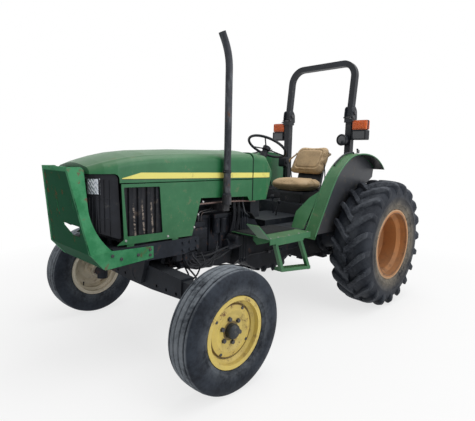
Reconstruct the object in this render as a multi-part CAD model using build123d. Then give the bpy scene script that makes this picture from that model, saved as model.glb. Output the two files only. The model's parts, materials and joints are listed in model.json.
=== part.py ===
from build123d import *
import os
from math import atan2, cos, hypot, radians, sin

# Open-station farm tractor, two-wheel drive, with a folding roll bar and a front brush guard.
# Millimetres. X runs forward, Y to the driver's left, Z up. Stations along X are measured from
# the rear axle while the pieces are built; finish() then moves everything so that the origin is
# on the ground under the middle of the tractor's length.
# Stations of the front end are written from the front axle, heights of the rear end from the
# rear axle, and widths under the hood from the hood's half width, so they follow those sizes.

# ---- wheels ------------------------------------------------------------------------------------
WHEELBASE = 2166.0
REAR_TRACK = 1490.0
FRONT_TRACK = 1775.0
REAR_TYRE_R = 608.0
REAR_TYRE_W = 378.0
REAR_FLANGE_R = 336.0
REAR_RIM_W = 330.0
REAR_BEAD_R = 308.0
REAR_WELL_R = 276.0
REAR_DISC_SET = 135.0       # disc face, inboard of the tyre's middle
REAR_HUB_SET = 204.6        # inner end of the hub, inboard of the tyre's middle
REAR_HUB_RUN = 0.4          # between the hub and the axle trumpet
FRONT_TYRE_R = 383.0
FRONT_TYRE_W = 196.0
FRONT_FLANGE_R = 222.0
FRONT_RIM_W = 158.0
FRONT_BEAD_R = 203.0
FRONT_WELL_R = 181.0
RIM_LIP = 11.0
RIM_WALL = 8.0
TYRE_WALL = 22.0
SEAT_GAP = 0.3              # between two pieces that rest on each other along a curve
RUN_FIT = 0.05              # radial play of a pin in its bore
AXLE_Z = REAR_TYRE_R

# ---- front axle and steering -------------------------------------------------------------------
KINGPIN_Y = 700.0
KINGPIN_R = 19.0
KING_BOSS_R = 40.0
CARRIER_R = 44.0
BOSS_Z0 = 452.0
BOSS_Z1 = 612.0
BEAM_Z0 = 462.0
BEAM_Z1 = 606.0
BEAM_HALF = 500.0
BEAM_DEPTH = 104.0
BEAM_HOLES = (215.0, 330.0, 445.0)
BEAM_HOLE_Z = 496.0
BEAM_HOLE_R = 12.0
EXTENSION_DEPTH = 80.0
EXTENSION_Z0 = 478.0
EXTENSION_Z1 = 590.0
PIVOT_RISE = 14.0           # axle pivot above the middle of the beam
PIVOT_R = 46.0
PIVOT_LUG_T = 34.0
PIVOT_LUG_GAP = 2.0
SPINDLE_R = 24.0
STEER_ARM = 150.0
STEER_ARM_Z0 = 422.0
STEER_ARM_T = 26.0
TIE_Z = 392.0
TIE_R = 14.0
TIE_SOCKET_R = 23.0
TIE_SOCKET_HALF = 18.0
TIE_CLAMP_Y = 120.0         # clamp, inboard of the kingpin
CYLINDER_ARM = 92.0
CYLINDER_Z = 512.0
CYLINDER_BARREL_R = 27.0
CYLINDER_ROD_R = 12.0
CYLINDER_BASE_Y = 140.0
CYLINDER_GLAND_Y = 430.0

# ---- frame, engine and drive line --------------------------------------------------------------
HOOD_HALF = 298.0
FRAME_HALF = HOOD_HALF + 4.0
FRAME_RAIL_W = 52.0
FRAME_Z0 = 716.0
FRAME_Z1 = 828.0
FRAME_FRONT = WHEELBASE + 424.0
FRAME_REAR = WHEELBASE - 261.0
ENGINE_REAR = 1395.0
ENGINE_FRONT = WHEELBASE - 106.0
ENGINE_HALF = 170.0
CRANKCASE_Z0 = 640.0
CRANKCASE_Z1 = 960.0
HEAD_Z1 = 1120.0
ROCKER_Z1 = 1190.0
SUMP_Z = 520.0
BELL_REAR = 1290.0
BELL_TOP = 900.0
CASE_HALF = 160.0
DRIVE_REAR = -210.0
DRIVE_Z0 = AXLE_Z - 188.0
DRIVE_TOP = AXLE_Z + 242.0
ROCK_HOUSING = 92.0         # height of the rockshaft housing on the gear case
FLANGE_R = 190.0            # inboard flange of an axle trumpet
TRUMPET_Y = REAR_TRACK / 2 - REAR_HUB_SET - REAR_HUB_RUN
# underside of the gear case and clutch housing ahead of the rear axle: station, height
CASE_BELLY = ((500.0, DRIVE_Z0), (640.0, 470.0), (840.0, 430.0), (1120.0, 410.0), (1200.0, 450.0))

# ---- hood, cowl and panels ---------------------------------------------------------------------
SKIN = 4.0
HOOD_REAR = 1347.0
SEAM_Z = 1236.0
SEAM_GAP = 6.0
NOSE_REAR = WHEELBASE + 369.0
NOSE_FRONT = WHEELBASE + 534.0
NOSE_CORNER_R = 30.0
GRILLE_TOP = 1290.0
GRILLE_BOTTOM = 884.0
GRILLE_CHIN_Z = 950.0
GRILLE_GAP = 3.0
GRILLE_SLOTS = 9
GRILLE_SLOT_W = 22.0
HEADLIGHT_Y = HOOD_HALF - 102.0
HEADLIGHT_Z0 = 1162.0
HEADLIGHT_Z1 = 1268.0
HEADLIGHT_REAR = NOSE_REAR + 97.0
HEADLIGHT_GAP = 2.0
PANEL_BOTTOM = 846.0
PANEL_REAR_TOP = WHEELBASE - 279.0
PANEL_REAR_BOTTOM = WHEELBASE - 196.0
PANEL_TAIL_Z = 1094.0
LOUVRE_REAR = WHEELBASE + 56.0
LOUVRE_FRONT = WHEELBASE + 322.0
LOUVRE_LEAN = 22.0          # the louvre opening leans forward by this much over its height
LOUVRE_Z0 = 893.0
LOUVRE_Z1 = 1209.0
LOUVRE_VANES = 4
COWL_FRONT = 1335.0
COWL_LOW = 1056.0
FIREWALL_REAR = 1180.0
HOOD_HINGE_Z = 1455.0
HINGE_R = 8.0
HINGE_PIN_R = 4.0
HINGE_LUG_Y = 36.0
HINGE_EAR_Y = 50.0
EAR_SLOT = 7.0

# hood sections: station, how far inside HOOD_HALF, shoulder height, crown height
HOOD_SECTIONS = (
    (HOOD_REAR, 0.0, 1436.0, 1463.0),
    (WHEELBASE - 186.0, 0.0, 1430.0, 1456.0),
    (WHEELBASE + 154.0, 2.0, 1414.0, 1441.0),
    (WHEELBASE + 284.0, 6.0, 1400.0, 1426.0),
    (WHEELBASE + 374.0, 14.0, 1382.0, 1406.0),
    (WHEELBASE + 454.0, 31.0, 1362.0, 1384.0),
    (NOSE_FRONT, 62.0, 1336.0, 1356.0),
)
# cowl sections: station, how far inside HOOD_HALF, low edge, top, corner radius
COWL_SECTIONS = (
    (COWL_FRONT, 0.0, COWL_LOW, 1448.0, 60.0),
    (1165.0, 6.0, COWL_LOW, 1424.0, 58.0),
    (1077.0, 30.0, 1250.0, 1322.0, 34.0),
)
DASH_HALF = 185.0
DASH_T = 14.0

# ---- front guard -------------------------------------------------------------------------------
GUARD_T = 8.0
GUARD_TOP = (WHEELBASE + 655.0, 191.0, 1333.0)
GUARD_KNEE = (WHEELBASE + 572.0, FRAME_HALF + 4.0, 812.0)
GUARD_TOE = (WHEELBASE + 482.0, FRAME_HALF + 7.0, 708.0)
GUARD_CORNER_R = 34.0
GUARD_CHEEK_X = WHEELBASE + 553.0
GUARD_LEG_REAR = WHEELBASE + 138.0
GUARD_LEG_Z0 = 733.0
GUARD_LEG_Z1 = 812.0

# ---- exhaust -----------------------------------------------------------------------------------
EXHAUST_X = 1668.0
EXHAUST_Y = HOOD_HALF + 40.0
EXHAUST_R = 27.0
EXHAUST_WALL = 3.0
EXHAUST_BASE_Z = 1052.0
EXHAUST_BEND_Z = 2150.0
EXHAUST_BEND_R = 400.0
EXHAUST_TIP = (EXHAUST_X + 77.0, 2288.0)

# ---- fenders -----------------------------------------------------------------------------------
FENDER_T = 5.0
FENDER_INNER = REAR_TRACK / 2 - REAR_TYRE_W / 2 - 16.0
FENDER_OUTER = FENDER_INNER + 122.0
# line of the fender strip around the tyre, from its foot: angle above the axle, gap to the tyre
FENDER_LINE = (
    (7.6, 355.0), (27.8, 286.0), (36.1, 290.0), (44.7, 306.0), (51.4, 313.0), (58.3, 315.0),
    (65.2, 308.0), (72.1, 284.0), (80.6, 255.0), (90.3, 221.0), (99.1, 182.0), (107.7, 134.0),
)
FENDER_FOOT_X = REAR_TYRE_R + 347.0

# ---- operator's place --------------------------------------------------------------------------
PLATFORM_Z = 806.0
PLATFORM_T = 6.0
PLATFORM_FRONT = 1500.0
PLATFORM_REAR = FENDER_FOOT_X + 30.0
PLATFORM_HALF = 640.0
APRON = 46.0
TUNNEL_HALF = 222.0
TUNNEL_TOP = 50.0
KICK_TOP = (1634.0, 923.0)
KICK_INNER = 520.0
STEP_Y = PLATFORM_HALF - 28.0
STEP_BAR = 30.0
CASE_TOP = PLATFORM_Z - 16.0
DECK_Z = DRIVE_TOP + ROCK_HOUSING + 18.0
DECK_T = 6.0
DECK_FRONT = 560.0
DECK_REAR = -60.0
DECK_GAP = 0.2              # between the deck and each fender wall
SEAT_X = 330.0
SEAT_PAN_Z = DECK_Z + 115.0
SEAT_PAN_T = 22.0
CUSHION_T = 131.0
BACK_LEAN_LOW = (112.0, SEAT_PAN_Z + 225.0)
BACK_LEAN_HIGH = (20.0, SEAT_PAN_Z + 403.0)
BACK_HALF = 215.0
WHEEL_HUB = (857.0, 1477.0)
WHEEL_TILT = 31.0
WHEEL_R = 198.0
WHEEL_GRIP_R = 12.0
WHEEL_DISH = 38.0
COLUMN_R = 34.0

# ---- roll bar ----------------------------------------------------------------------------------
ROPS_X = 32.0
ROPS_Y = 390.0
ROPS_LEG = 64.0
ROPS_HOOP_W = 58.0
ROPS_HOOP_D = 52.0
ROPS_SIDE_PLAY = 1.5
ROPS_CHEEK_T = 12.0
ROPS_BOLT_R = 12.0
ROPS_BASE_Z = AXLE_Z + 138.0
ROPS_PIVOT_Z = AXLE_Z + 1260.0
ROPS_TOP_Z = ROPS_PIVOT_Z + 532.0
ROPS_LEAN = 6.5
ROPS_CORNER_R = 172.0
AMBER_Z = ROPS_PIVOT_Z - 168.0
LAMP_Z = ROPS_PIVOT_Z - 268.0
LAMP_REACH = 152.0
ROUND_LAMP = (364.0, ROPS_PIVOT_Z - 270.0)
ROUND_LAMP_R = 54.0

# ---- rear linkage ------------------------------------------------------------------------------
LINK_X = -60.0
LINK_Z = AXLE_Z - 208.0
LINK_Y = 215.0
LINK_PIN_R = 15.0
BALL_X = -880.0
BALL_Y = 400.0
LINK_EYE_R = 42.0
LINK_HOLE_R = 14.35
LINK_BAR_HALF = 11.0
FORK_HALF = 29.0            # inside of the lift rod's lower fork, which clears the spreading bar
ARM_LENGTH = 340.0
ROCKSHAFT_X = -120.0
ROCKSHAFT_Z = DRIVE_TOP + 30.0
ROCKSHAFT_R = 32.0
ARM_Y = 250.0
ARM_PIN_R = 12.0
LIFT_PIN_R = 11.0
PTO_Z = AXLE_Z - 48.0
PTO_R = 17.46
PTO_JOURNAL_R = 24.0
PTO_REAR = -330.0
PTO_FACE = -254.0
DRAWBAR_Z0 = 330.0
DRAWBAR_T = 32.0
DRAWBAR_W = 70.0
DRAWBAR_REAR = -750.0
DRAWBAR_HOLE_X = -705.0
DRAWBAR_HOLE_R = 16.5

FRONT_END = GUARD_TOP[0]
REAR_END = BALL_X - LINK_EYE_R
MIDDLE_X = (FRONT_END + REAR_END) / 2.0


# ---- helpers -----------------------------------------------------------------------------------
def block(x0, x1, y0, y1, z0, z1):
    """A box between two corners."""
    return Pos((x0 + x1) / 2, (y0 + y1) / 2, (z0 + z1) / 2) * Box(x1 - x0, y1 - y0, z1 - z0)


def side_plate(points, y0, y1, round_r=0.0):
    """A plate with its outline in XZ, between two stations across."""
    outline = Polygon(*points, align=None)
    if round_r:
        outline = fillet(outline.vertices(), round_r)
    plane = Plane(origin=(0, y0, 0), x_dir=(1, 0, 0), z_dir=(0, -1, 0))
    return extrude(plane * outline, y1 - y0, dir=(0, 1, 0))


def cross_plate(points, x0, x1):
    """A plate with its outline in YZ, between two stations along the tractor."""
    plane = Plane(origin=(x0, 0, 0), x_dir=(0, 1, 0), z_dir=(1, 0, 0))
    return extrude(plane * Polygon(*points, align=None), x1 - x0, dir=(1, 0, 0))


def flat_plate(points, z0, z1):
    """A plate with its outline in XY, between two heights."""
    return extrude(Plane.XY.offset(z0) * Polygon(*points, align=None), z1 - z0, dir=(0, 0, 1))


def rod(start, end, radius):
    """A round bar between two points."""
    a = Vector(*start)
    axis = Vector(*end) - a
    low = (Align.CENTER, Align.CENTER, Align.MIN)
    return Plane(origin=a, z_dir=axis) * Cylinder(radius, axis.length, align=low)


def cross_rod(x, z, y0, y1, radius):
    """A round bar lying across the tractor."""
    return rod((x, y0, z), (x, y1, z), radius)


def post(x, y, z0, z1, radius):
    """A round bar standing upright."""
    return rod((x, y, z0), (x, y, z1), radius)


def ring(profile):
    """A body of revolution about Y, from (radius, y) points."""
    return revolve(Polygon(*profile, align=None), Axis.Y)


def both(shape):
    """The piece and its mirror image on the other side."""
    return Part() + [shape, mirror(shape, Plane.XZ)]


def left_right(shape, side):
    """The left piece, or its mirror image on the right."""
    return shape if side > 0 else mirror(shape, Plane.XZ)


# ---- wheels ------------------------------------------------------------------------------------
def rim_profile(flange_r, bead_r, well_r, half):
    """Outer line of a rim, then back along its inside."""
    ledge = bead_r - 3
    return [
        (flange_r, half), (flange_r, half - RIM_LIP), (bead_r, half - RIM_LIP), (ledge, half * 0.62),
        (well_r, half * 0.42), (well_r, -half * 0.42), (ledge, -half * 0.62),
        (bead_r, -half + RIM_LIP), (flange_r, -half + RIM_LIP), (flange_r, -half),
        (bead_r - RIM_WALL, -half), (ledge - RIM_WALL, -half * 0.64),
        (well_r - RIM_WALL, -half * 0.44), (well_r - RIM_WALL, half * 0.44),
        (ledge - RIM_WALL, half * 0.64), (bead_r - RIM_WALL, half),
    ]


def tyre_profile(tyre_r, tyre_w, flange_r, bead_r, rim_half, tread_share):
    """Section of a tyre: tread, shoulders, sidewalls down to the beads, and the air space."""
    half = tyre_w / 2
    seat = bead_r + SEAT_GAP
    inner = rim_half - RIM_LIP - SEAT_GAP
    span = tyre_r - bead_r
    tread = half * tread_share
    outer = [
        (tyre_r, 0), (tyre_r - 0.02 * span, tread * 0.7), (tyre_r - 0.07 * span, tread),
        (tyre_r - 0.25 * span, half * 0.97), (tyre_r - 0.48 * span, half),
        (tyre_r - 0.68 * span, half * 0.95), (flange_r + 4, rim_half + 2),
        (flange_r + 1, inner), (seat, inner),
    ]
    inside = [
        (seat, inner - TYRE_WALL), (flange_r + 8, inner - TYRE_WALL),
        (tyre_r - 0.66 * span, half * 0.95 - TYRE_WALL), (tyre_r - 0.48 * span, half - TYRE_WALL),
        (tyre_r - 0.28 * span, half * 0.95 - TYRE_WALL), (tyre_r - 0.20 * span, tread * 0.7),
        (tyre_r - 0.17 * span, 0),
    ]
    far = [(r, -y) for r, y in inside[:-1]]
    back = [(r, -y) for r, y in outer[1:]]
    return outer + inside + far[::-1] + back[::-1]


def rear_rim():
    """Deep-dished rear wheel: welded rim, disc set well inboard, and the axle hub bolted to it."""
    face = -REAR_DISC_SET
    end = -REAR_HUB_SET
    well = REAR_WELL_R - RIM_WALL + 2
    shell = ring(rim_profile(REAR_FLANGE_R, REAR_BEAD_R, REAR_WELL_R, REAR_RIM_W / 2))
    disc = ring([
        (52, face), (196, face), (240, face + 34), (well, face + 62), (well, face + 74),
        (236, face + 46), (192, face + 11), (52, face + 11),
    ])
    hub = ring([(0, end), (62, end), (62, face - 26), (128, face - 26), (128, face), (60, face),
                (60, face + 44), (48, face + 52), (0, face + 52)])
    return shell + disc + hub


def front_rim():
    """Front wheel: rim, pressed disc with a raised ring, and the hub barrel with its cap."""
    well = FRONT_WELL_R - RIM_WALL + 2
    bore = SPINDLE_R + RUN_FIT
    shell = ring(rim_profile(FRONT_FLANGE_R, FRONT_BEAD_R, FRONT_WELL_R, FRONT_RIM_W / 2))
    disc = ring([
        (40, 24), (104, 24), (128, 36), (158, 30), (well, 10), (well, 20),
        (162, 39), (126, 46), (98, 33), (40, 33),
    ])
    hub = ring([(bore, -112), (58, -112), (58, -80), (46, -66), (46, 10), (70, 14), (70, 24),
                (44, 24), (44, 62), (36, 72), (0, 72), (0, 58), (bore, 58)])
    return shell + disc + hub


def wheel(kind, side):
    """Rim and tyre of one wheel at its place."""
    if kind == "rear":
        rim = rear_rim()
        line = tyre_profile(REAR_TYRE_R, REAR_TYRE_W, REAR_FLANGE_R, REAR_BEAD_R, REAR_RIM_W / 2, 0.92)
        place = Pos(0, REAR_TRACK / 2, REAR_TYRE_R)
    else:
        rim = front_rim()
        line = tyre_profile(FRONT_TYRE_R, FRONT_TYRE_W, FRONT_FLANGE_R, FRONT_BEAD_R, FRONT_RIM_W / 2, 0.84)
        place = Pos(WHEELBASE, FRONT_TRACK / 2, FRONT_TYRE_R)
    return left_right(place * rim, side), left_right(place * ring(line), side)


# ---- front axle and steering -------------------------------------------------------------------
def pivot_height():
    """Height of the axle's pivot pin."""
    return (BEAM_Z0 + BEAM_Z1) / 2 + PIVOT_RISE


def front_axle():
    """Centre beam with its pivot boss, telescoping ends, kingpin bosses and bolt holes."""
    x0 = WHEELBASE - BEAM_DEPTH / 2
    x1 = WHEELBASE + BEAM_DEPTH / 2
    reach = PIVOT_LUG_T
    end_z0 = BEAM_Z0 + 10
    mid_z0 = BEAM_Z0 - 8
    mid_z1 = BEAM_Z1 + 18
    beam = cross_plate(
        [(-BEAM_HALF, end_z0), (-150, mid_z0), (150, mid_z0), (BEAM_HALF, end_z0),
         (BEAM_HALF, BEAM_Z1), (130, mid_z1), (-130, mid_z1), (-BEAM_HALF, BEAM_Z1)], x0, x1)
    pivot = rod((x0 - reach, 0, pivot_height()), (x1 + reach, 0, pivot_height()), PIVOT_R)
    x2 = WHEELBASE - EXTENSION_DEPTH / 2
    x3 = WHEELBASE + EXTENSION_DEPTH / 2
    ends = both(block(x2, x3, BEAM_HALF - 60, KINGPIN_Y, EXTENSION_Z0, EXTENSION_Z1))
    bosses = both(post(WHEELBASE, KINGPIN_Y, BOSS_Z0, BOSS_Z1, KING_BOSS_R))
    body = beam + pivot + ends + bosses
    for y in BEAM_HOLES:
        body -= both(rod((x0 - 5, y, BEAM_HOLE_Z), (x1 + 5, y, BEAM_HOLE_Z), BEAM_HOLE_R))
    return body - both(post(WHEELBASE, KINGPIN_Y, BOSS_Z0 - 5, BOSS_Z1 + 5, KINGPIN_R + RUN_FIT))


def steering_cylinder():
    """Barrel of the steering cylinder with its base lug, held behind the beam."""
    x = WHEELBASE - CYLINDER_ARM
    z = CYLINDER_Z
    y0 = CYLINDER_BASE_Y
    barrel = cross_rod(x, z, y0, CYLINDER_GLAND_Y, CYLINDER_BARREL_R)
    bore = cross_rod(x, z, y0 + 20, CYLINDER_GLAND_Y + 5, CYLINDER_ROD_R + RUN_FIT)
    lug = block(x, WHEELBASE - BEAM_DEPTH / 2, y0 - 34, y0 + 2, z - 20, z + 20)
    eye = post(x, y0 - 16, z - 24, z + 24, 22)
    return barrel + lug + eye - bore


def steering_rod():
    """Piston rod of the steering cylinder, with the eye over the left steering arm."""
    x = WHEELBASE - CYLINDER_ARM
    z = CYLINDER_Z
    arm_top = STEER_ARM_Z0 + STEER_ARM_T
    body = cross_rod(x, z, CYLINDER_BASE_Y + 150, KINGPIN_Y - 22, CYLINDER_ROD_R)
    eye = post(x, KINGPIN_Y, z - 18, z + 18, 24)
    stud = post(x, KINGPIN_Y, arm_top + 2, z - 10, 11)
    return body + eye + stud


def knuckle(side):
    """Kingpin with the stub axle below and the steering arm pointing back."""
    x = WHEELBASE
    y = KINGPIN_Y
    hub_y = FRONT_TRACK / 2
    pin = post(x, y, FRONT_TYRE_R - 43, BOSS_Z1 + 26, KINGPIN_R)
    cap = post(x, y, BOSS_Z1 + 2, BOSS_Z1 + 24, 33)
    carrier = post(x, y, FRONT_TYRE_R - 47, BOSS_Z0 - 2, CARRIER_R)
    stub = cross_rod(x, FRONT_TYRE_R, y, hub_y + 52, SPINDLE_R)
    shoulder = cross_rod(x, FRONT_TYRE_R, y, hub_y - 118, 38)
    arm = flat_plate([(x - 20, y - 40), (x - 20, y + 40), (x - STEER_ARM, y + 24),
                      (x - STEER_ARM - 24, y), (x - STEER_ARM, y - 24)],
                     STEER_ARM_Z0, STEER_ARM_Z0 + STEER_ARM_T)
    return left_right(pin + cap + carrier + stub + shoulder + arm, side)


def tie_rod():
    """Tie rod under the two steering arms, with a ball socket and stud at each end."""
    x = WHEELBASE - STEER_ARM
    y = KINGPIN_Y
    bar = cross_rod(x, TIE_Z, -y + 20, y - 20, TIE_R)
    socket = post(x, y, TIE_Z - TIE_SOCKET_HALF, TIE_Z + TIE_SOCKET_HALF, TIE_SOCKET_R)
    stud = post(x, y, TIE_Z + TIE_SOCKET_HALF - 8, STEER_ARM_Z0 - SEAT_GAP, 10)
    clamp = cross_rod(x, TIE_Z, y - TIE_CLAMP_Y - 20, y - TIE_CLAMP_Y + 20, TIE_R + 6)
    return bar + both(socket + stud + clamp)


# ---- frame, engine and drive line --------------------------------------------------------------
def front_frame():
    """Front support casting: two side rails, a nose cross member and the axle pivot lugs."""
    inner = FRAME_HALF - FRAME_RAIL_W
    rails = both(side_plate(
        [(FRAME_REAR, FRAME_Z0 + 26), (FRAME_REAR, FRAME_Z1), (FRAME_FRONT, FRAME_Z1),
         (FRAME_FRONT, FRAME_Z0 + 20), (FRAME_FRONT - 110, FRAME_Z0), (FRAME_REAR + 135, FRAME_Z0)],
        inner, FRAME_HALF))
    nose = block(FRAME_FRONT - 60, FRAME_FRONT, -inner, inner, FRAME_Z0 + 20, FRAME_Z1)
    posts = both(block(NOSE_REAR - 15, NOSE_REAR + 3, 120, 150, FRAME_Z1, GRILLE_BOTTOM))
    belly = block(ENGINE_FRONT + 0.2, FRAME_FRONT - 170, -inner, inner, FRAME_Z0 + 4, FRAME_Z0 + 44)
    z = pivot_height()
    outline = [(-150, FRAME_Z0 + 6), (-64, z - 60), (64, z - 60), (150, FRAME_Z0 + 6)]
    rear_face = WHEELBASE - BEAM_DEPTH / 2 - PIVOT_LUG_GAP
    front_face = WHEELBASE + BEAM_DEPTH / 2 + PIVOT_LUG_GAP
    lugs = cross_plate(outline, rear_face - PIVOT_LUG_T, rear_face)
    lugs += cross_plate(outline, front_face, front_face + PIVOT_LUG_T)
    pin = rod((rear_face - 80, 0, z), (front_face + 80, 0, z), PIVOT_R + RUN_FIT)
    return rails + nose + posts + belly + lugs - pin


def engine():
    """Engine as a heavy block: crankcase, head, sump, timing cover and bell housing."""
    case = block(ENGINE_REAR, ENGINE_FRONT, -ENGINE_HALF, ENGINE_HALF, CRANKCASE_Z0, CRANKCASE_Z1)
    head = block(ENGINE_REAR + 40, ENGINE_FRONT - 60, -125, 125, CRANKCASE_Z1, HEAD_Z1)
    cover = block(ENGINE_REAR + 60, ENGINE_FRONT - 90, -88, 88, HEAD_Z1, ROCKER_Z1)
    end = ENGINE_FRONT - 6
    sump = side_plate([(ENGINE_REAR + 10, CRANKCASE_Z0), (ENGINE_REAR + 40, SUMP_Z), (end - 254, SUMP_Z),
                       (end - 184, SUMP_Z + 55), (end, SUMP_Z + 55), (end, CRANKCASE_Z0)], -140, 140)
    timing = block(ENGINE_FRONT, ENGINE_FRONT + 50, -130, 130, 780, 1020)
    bell = cross_plate([(-215, 560), (-215, BELL_TOP), (-150, 985), (150, 985), (215, BELL_TOP), (215, 560),
                        (140, 490), (-140, 490)], BELL_REAR, ENGINE_REAR)
    return case + head + cover + sump + timing + bell


def transmission():
    """Clutch housing, gear case and the rockshaft housing in one cast backbone."""
    outline = [(BELL_REAR, 520), (BELL_REAR, BELL_TOP), (FIREWALL_REAR, BELL_TOP), (1100, CASE_TOP),
               (420, CASE_TOP), (420, DRIVE_TOP), (DRIVE_REAR, DRIVE_TOP), (DRIVE_REAR, DRIVE_Z0 + 50),
               (DRIVE_REAR + 60, DRIVE_Z0)]
    case = side_plate(outline + list(CASE_BELLY), -CASE_HALF, CASE_HALF)
    housing = block(DRIVE_REAR - 10, 240, -150, 150, DRIVE_TOP, DRIVE_TOP + ROCK_HOUSING)
    tail = block(PTO_FACE, DRIVE_REAR, -100, 100, PTO_Z - 90, PTO_Z + 140)
    shaft_bore = cross_rod(ROCKSHAFT_X, ROCKSHAFT_Z, -300, 300, ROCKSHAFT_R + RUN_FIT)
    pto_bore = rod((PTO_REAR, 0, PTO_Z), (-120, 0, PTO_Z), PTO_JOURNAL_R + RUN_FIT)
    return case + housing + tail - shaft_bore - pto_bore


def rear_axle():
    """Axle trumpets: flanged inboard, tapering out to the brake and seal flange at the wheel."""
    y = CASE_HALF
    trumpet = Pos(0, 0, AXLE_Z) * ring([
        (0, y), (FLANGE_R, y), (FLANGE_R, y + 24), (150, y + 36), (118, y + 140), (108, TRUMPET_Y - 70),
        (126, TRUMPET_Y - 40), (126, TRUMPET_Y), (0, TRUMPET_Y)])
    saddle = block(ROPS_X - 70, ROPS_X + 70, ROPS_Y - 62, ROPS_Y + 62, AXLE_Z + 60, ROPS_BASE_Z)
    return both(trumpet + saddle)


def link_lugs():
    """Lugs under the gear case that carry the lower links outboard of it."""
    step = DRIVE_Z0 - 8
    end = LINK_Y - 22
    lug = cross_plate([(CASE_HALF - 50, DRIVE_Z0), (CASE_HALF, DRIVE_Z0), (CASE_HALF, step), (end, step),
                       (end, LINK_Z - 35), (CASE_HALF - 50, LINK_Z - 35)], LINK_X - 45, LINK_X + 45)
    return both(lug + cross_rod(LINK_X, LINK_Z, end - 8, LINK_Y + 34, LINK_PIN_R))


def radiator():
    """Radiator core in its frame behind the grille."""
    half = HOOD_HALF - 36
    rear = WHEELBASE + 164
    core = block(rear, rear + 120, -half, half, FRAME_Z1, 1326)
    return core + block(rear - 10, rear + 130, 62 - half, half - 62, 1326, 1368)


def drawbar():
    """Swinging drawbar held under the gear case, with its pin hole."""
    half = DRAWBAR_W / 2
    top = DRAWBAR_Z0 + DRAWBAR_T
    low = DRAWBAR_Z0 - 22
    bar = block(DRAWBAR_REAR, 260, -half, half, DRAWBAR_Z0, top)
    bar = fillet(bar.edges().filter_by(Axis.Z).group_by(Axis.X)[0], 26)
    strap = block(-140, -60, -95, 95, low, DRAWBAR_Z0)
    strap += both(block(-140, -60, 65, 95, low, DRIVE_Z0))
    front = block(200, 260, -60, 60, top, DRIVE_Z0)
    return bar + front + strap - post(DRAWBAR_HOLE_X, 0, DRAWBAR_Z0 - 5, top + 5, DRAWBAR_HOLE_R)


# ---- hood, cowl and panels ---------------------------------------------------------------------
def hood_section(x, half, shoulder, crown):
    """One arched section of the hood: straight sides, rounded shoulders, low crown."""
    turn = 62.0
    bulge = (half - turn * 0.24, shoulder - turn * 0.30)
    low = SEAM_Z
    lines = [
        Line((-half, low), (-half, shoulder - turn)),
        ThreePointArc((-half, shoulder - turn), (-bulge[0], bulge[1]), (turn - half, shoulder)),
        ThreePointArc((turn - half, shoulder), (0, crown), (half - turn, shoulder)),
        ThreePointArc((half - turn, shoulder), bulge, (half, shoulder - turn)),
        Line((half, shoulder - turn), (half, low)),
        Line((half, low), (-half, low)),
    ]
    return Plane(origin=(x, 0, 0), x_dir=(0, 1, 0), z_dir=(1, 0, 0)) * make_face(lines)


def hood_solid(inset):
    """The hood's outer form, drawn in by an inset at the top, the sides and the nose."""
    faces = []
    for x, narrowing, shoulder, crown in HOOD_SECTIONS:
        end = inset if x == NOSE_FRONT else 0.0
        faces.append(hood_section(x - end, HOOD_HALF - narrowing - inset, shoulder - inset, crown - inset))
    return loft(faces, ruled=True)


def nose_window(grow):
    """Outline of the grille seen from the side, grown by a gap at its top and rear."""
    rear = NOSE_REAR - grow
    top = GRILLE_TOP + grow
    front = NOSE_FRONT + 60
    outline = Polygon((rear - 16, GRILLE_BOTTOM), (rear, top), (front, top), (front, grille_low(front)),
                      (rear + 3, GRILLE_BOTTOM), align=None)
    corner = outline.vertices().sort_by_distance((rear, top))[0]
    return fillet(corner, NOSE_CORNER_R + grow)


def grille_low(x):
    """Height of the grille's lower edge, rising towards the front."""
    rise = (GRILLE_CHIN_Z - GRILLE_BOTTOM) / (NOSE_FRONT - NOSE_REAR)
    return GRILLE_BOTTOM + rise * max(0.0, x - NOSE_REAR)


def hood():
    """Hood shell with its nose, open below, lifting about the hinge at the rear."""
    shell = hood_solid(0.0) - hood_solid(SKIN)
    across = Plane(origin=(0, -400, 0), x_dir=(1, 0, 0), z_dir=(0, -1, 0))
    shell -= extrude(across * nose_window(GRILLE_GAP), 800, dir=(0, 1, 0))
    half = HOOD_HALF - 58
    shell += block(HOOD_REAR, HOOD_REAR + 20, -half, half, 1340, 1500) & hood_solid(SKIN - 1)
    z = HOOD_HINGE_Z
    slot = (HINGE_EAR_Y - EAR_SLOT, HINGE_EAR_Y + EAR_SLOT)
    shell -= both(block(HOOD_REAR - 5, HOOD_REAR + 24, *slot, z - 26, z + 20))
    lug = side_plate([(HOOD_REAR + 2, z - 22), (HOOD_REAR - HINGE_R, z), (HOOD_REAR, z + HINGE_R),
                      (HOOD_REAR + 12, z)], HINGE_LUG_Y - 5, HINGE_LUG_Y + 5)
    shell += both(lug + cross_rod(HOOD_REAR, z, HINGE_LUG_Y - 5, HINGE_LUG_Y + 5, HINGE_R))
    return shell - cross_rod(HOOD_REAR, z, -70, 70, HINGE_PIN_R + RUN_FIT)


def louvre_outline(grow):
    """Leaning outline of the louvre opening, grown on every side."""
    rear = LOUVRE_REAR - grow
    front = LOUVRE_FRONT + grow
    return [(rear, LOUVRE_Z0 - grow), (front, LOUVRE_Z0 - grow + 3), (front + LOUVRE_LEAN, LOUVRE_Z1 + grow),
            (rear + LOUVRE_LEAN, LOUVRE_Z1 + grow - 3)]


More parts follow.
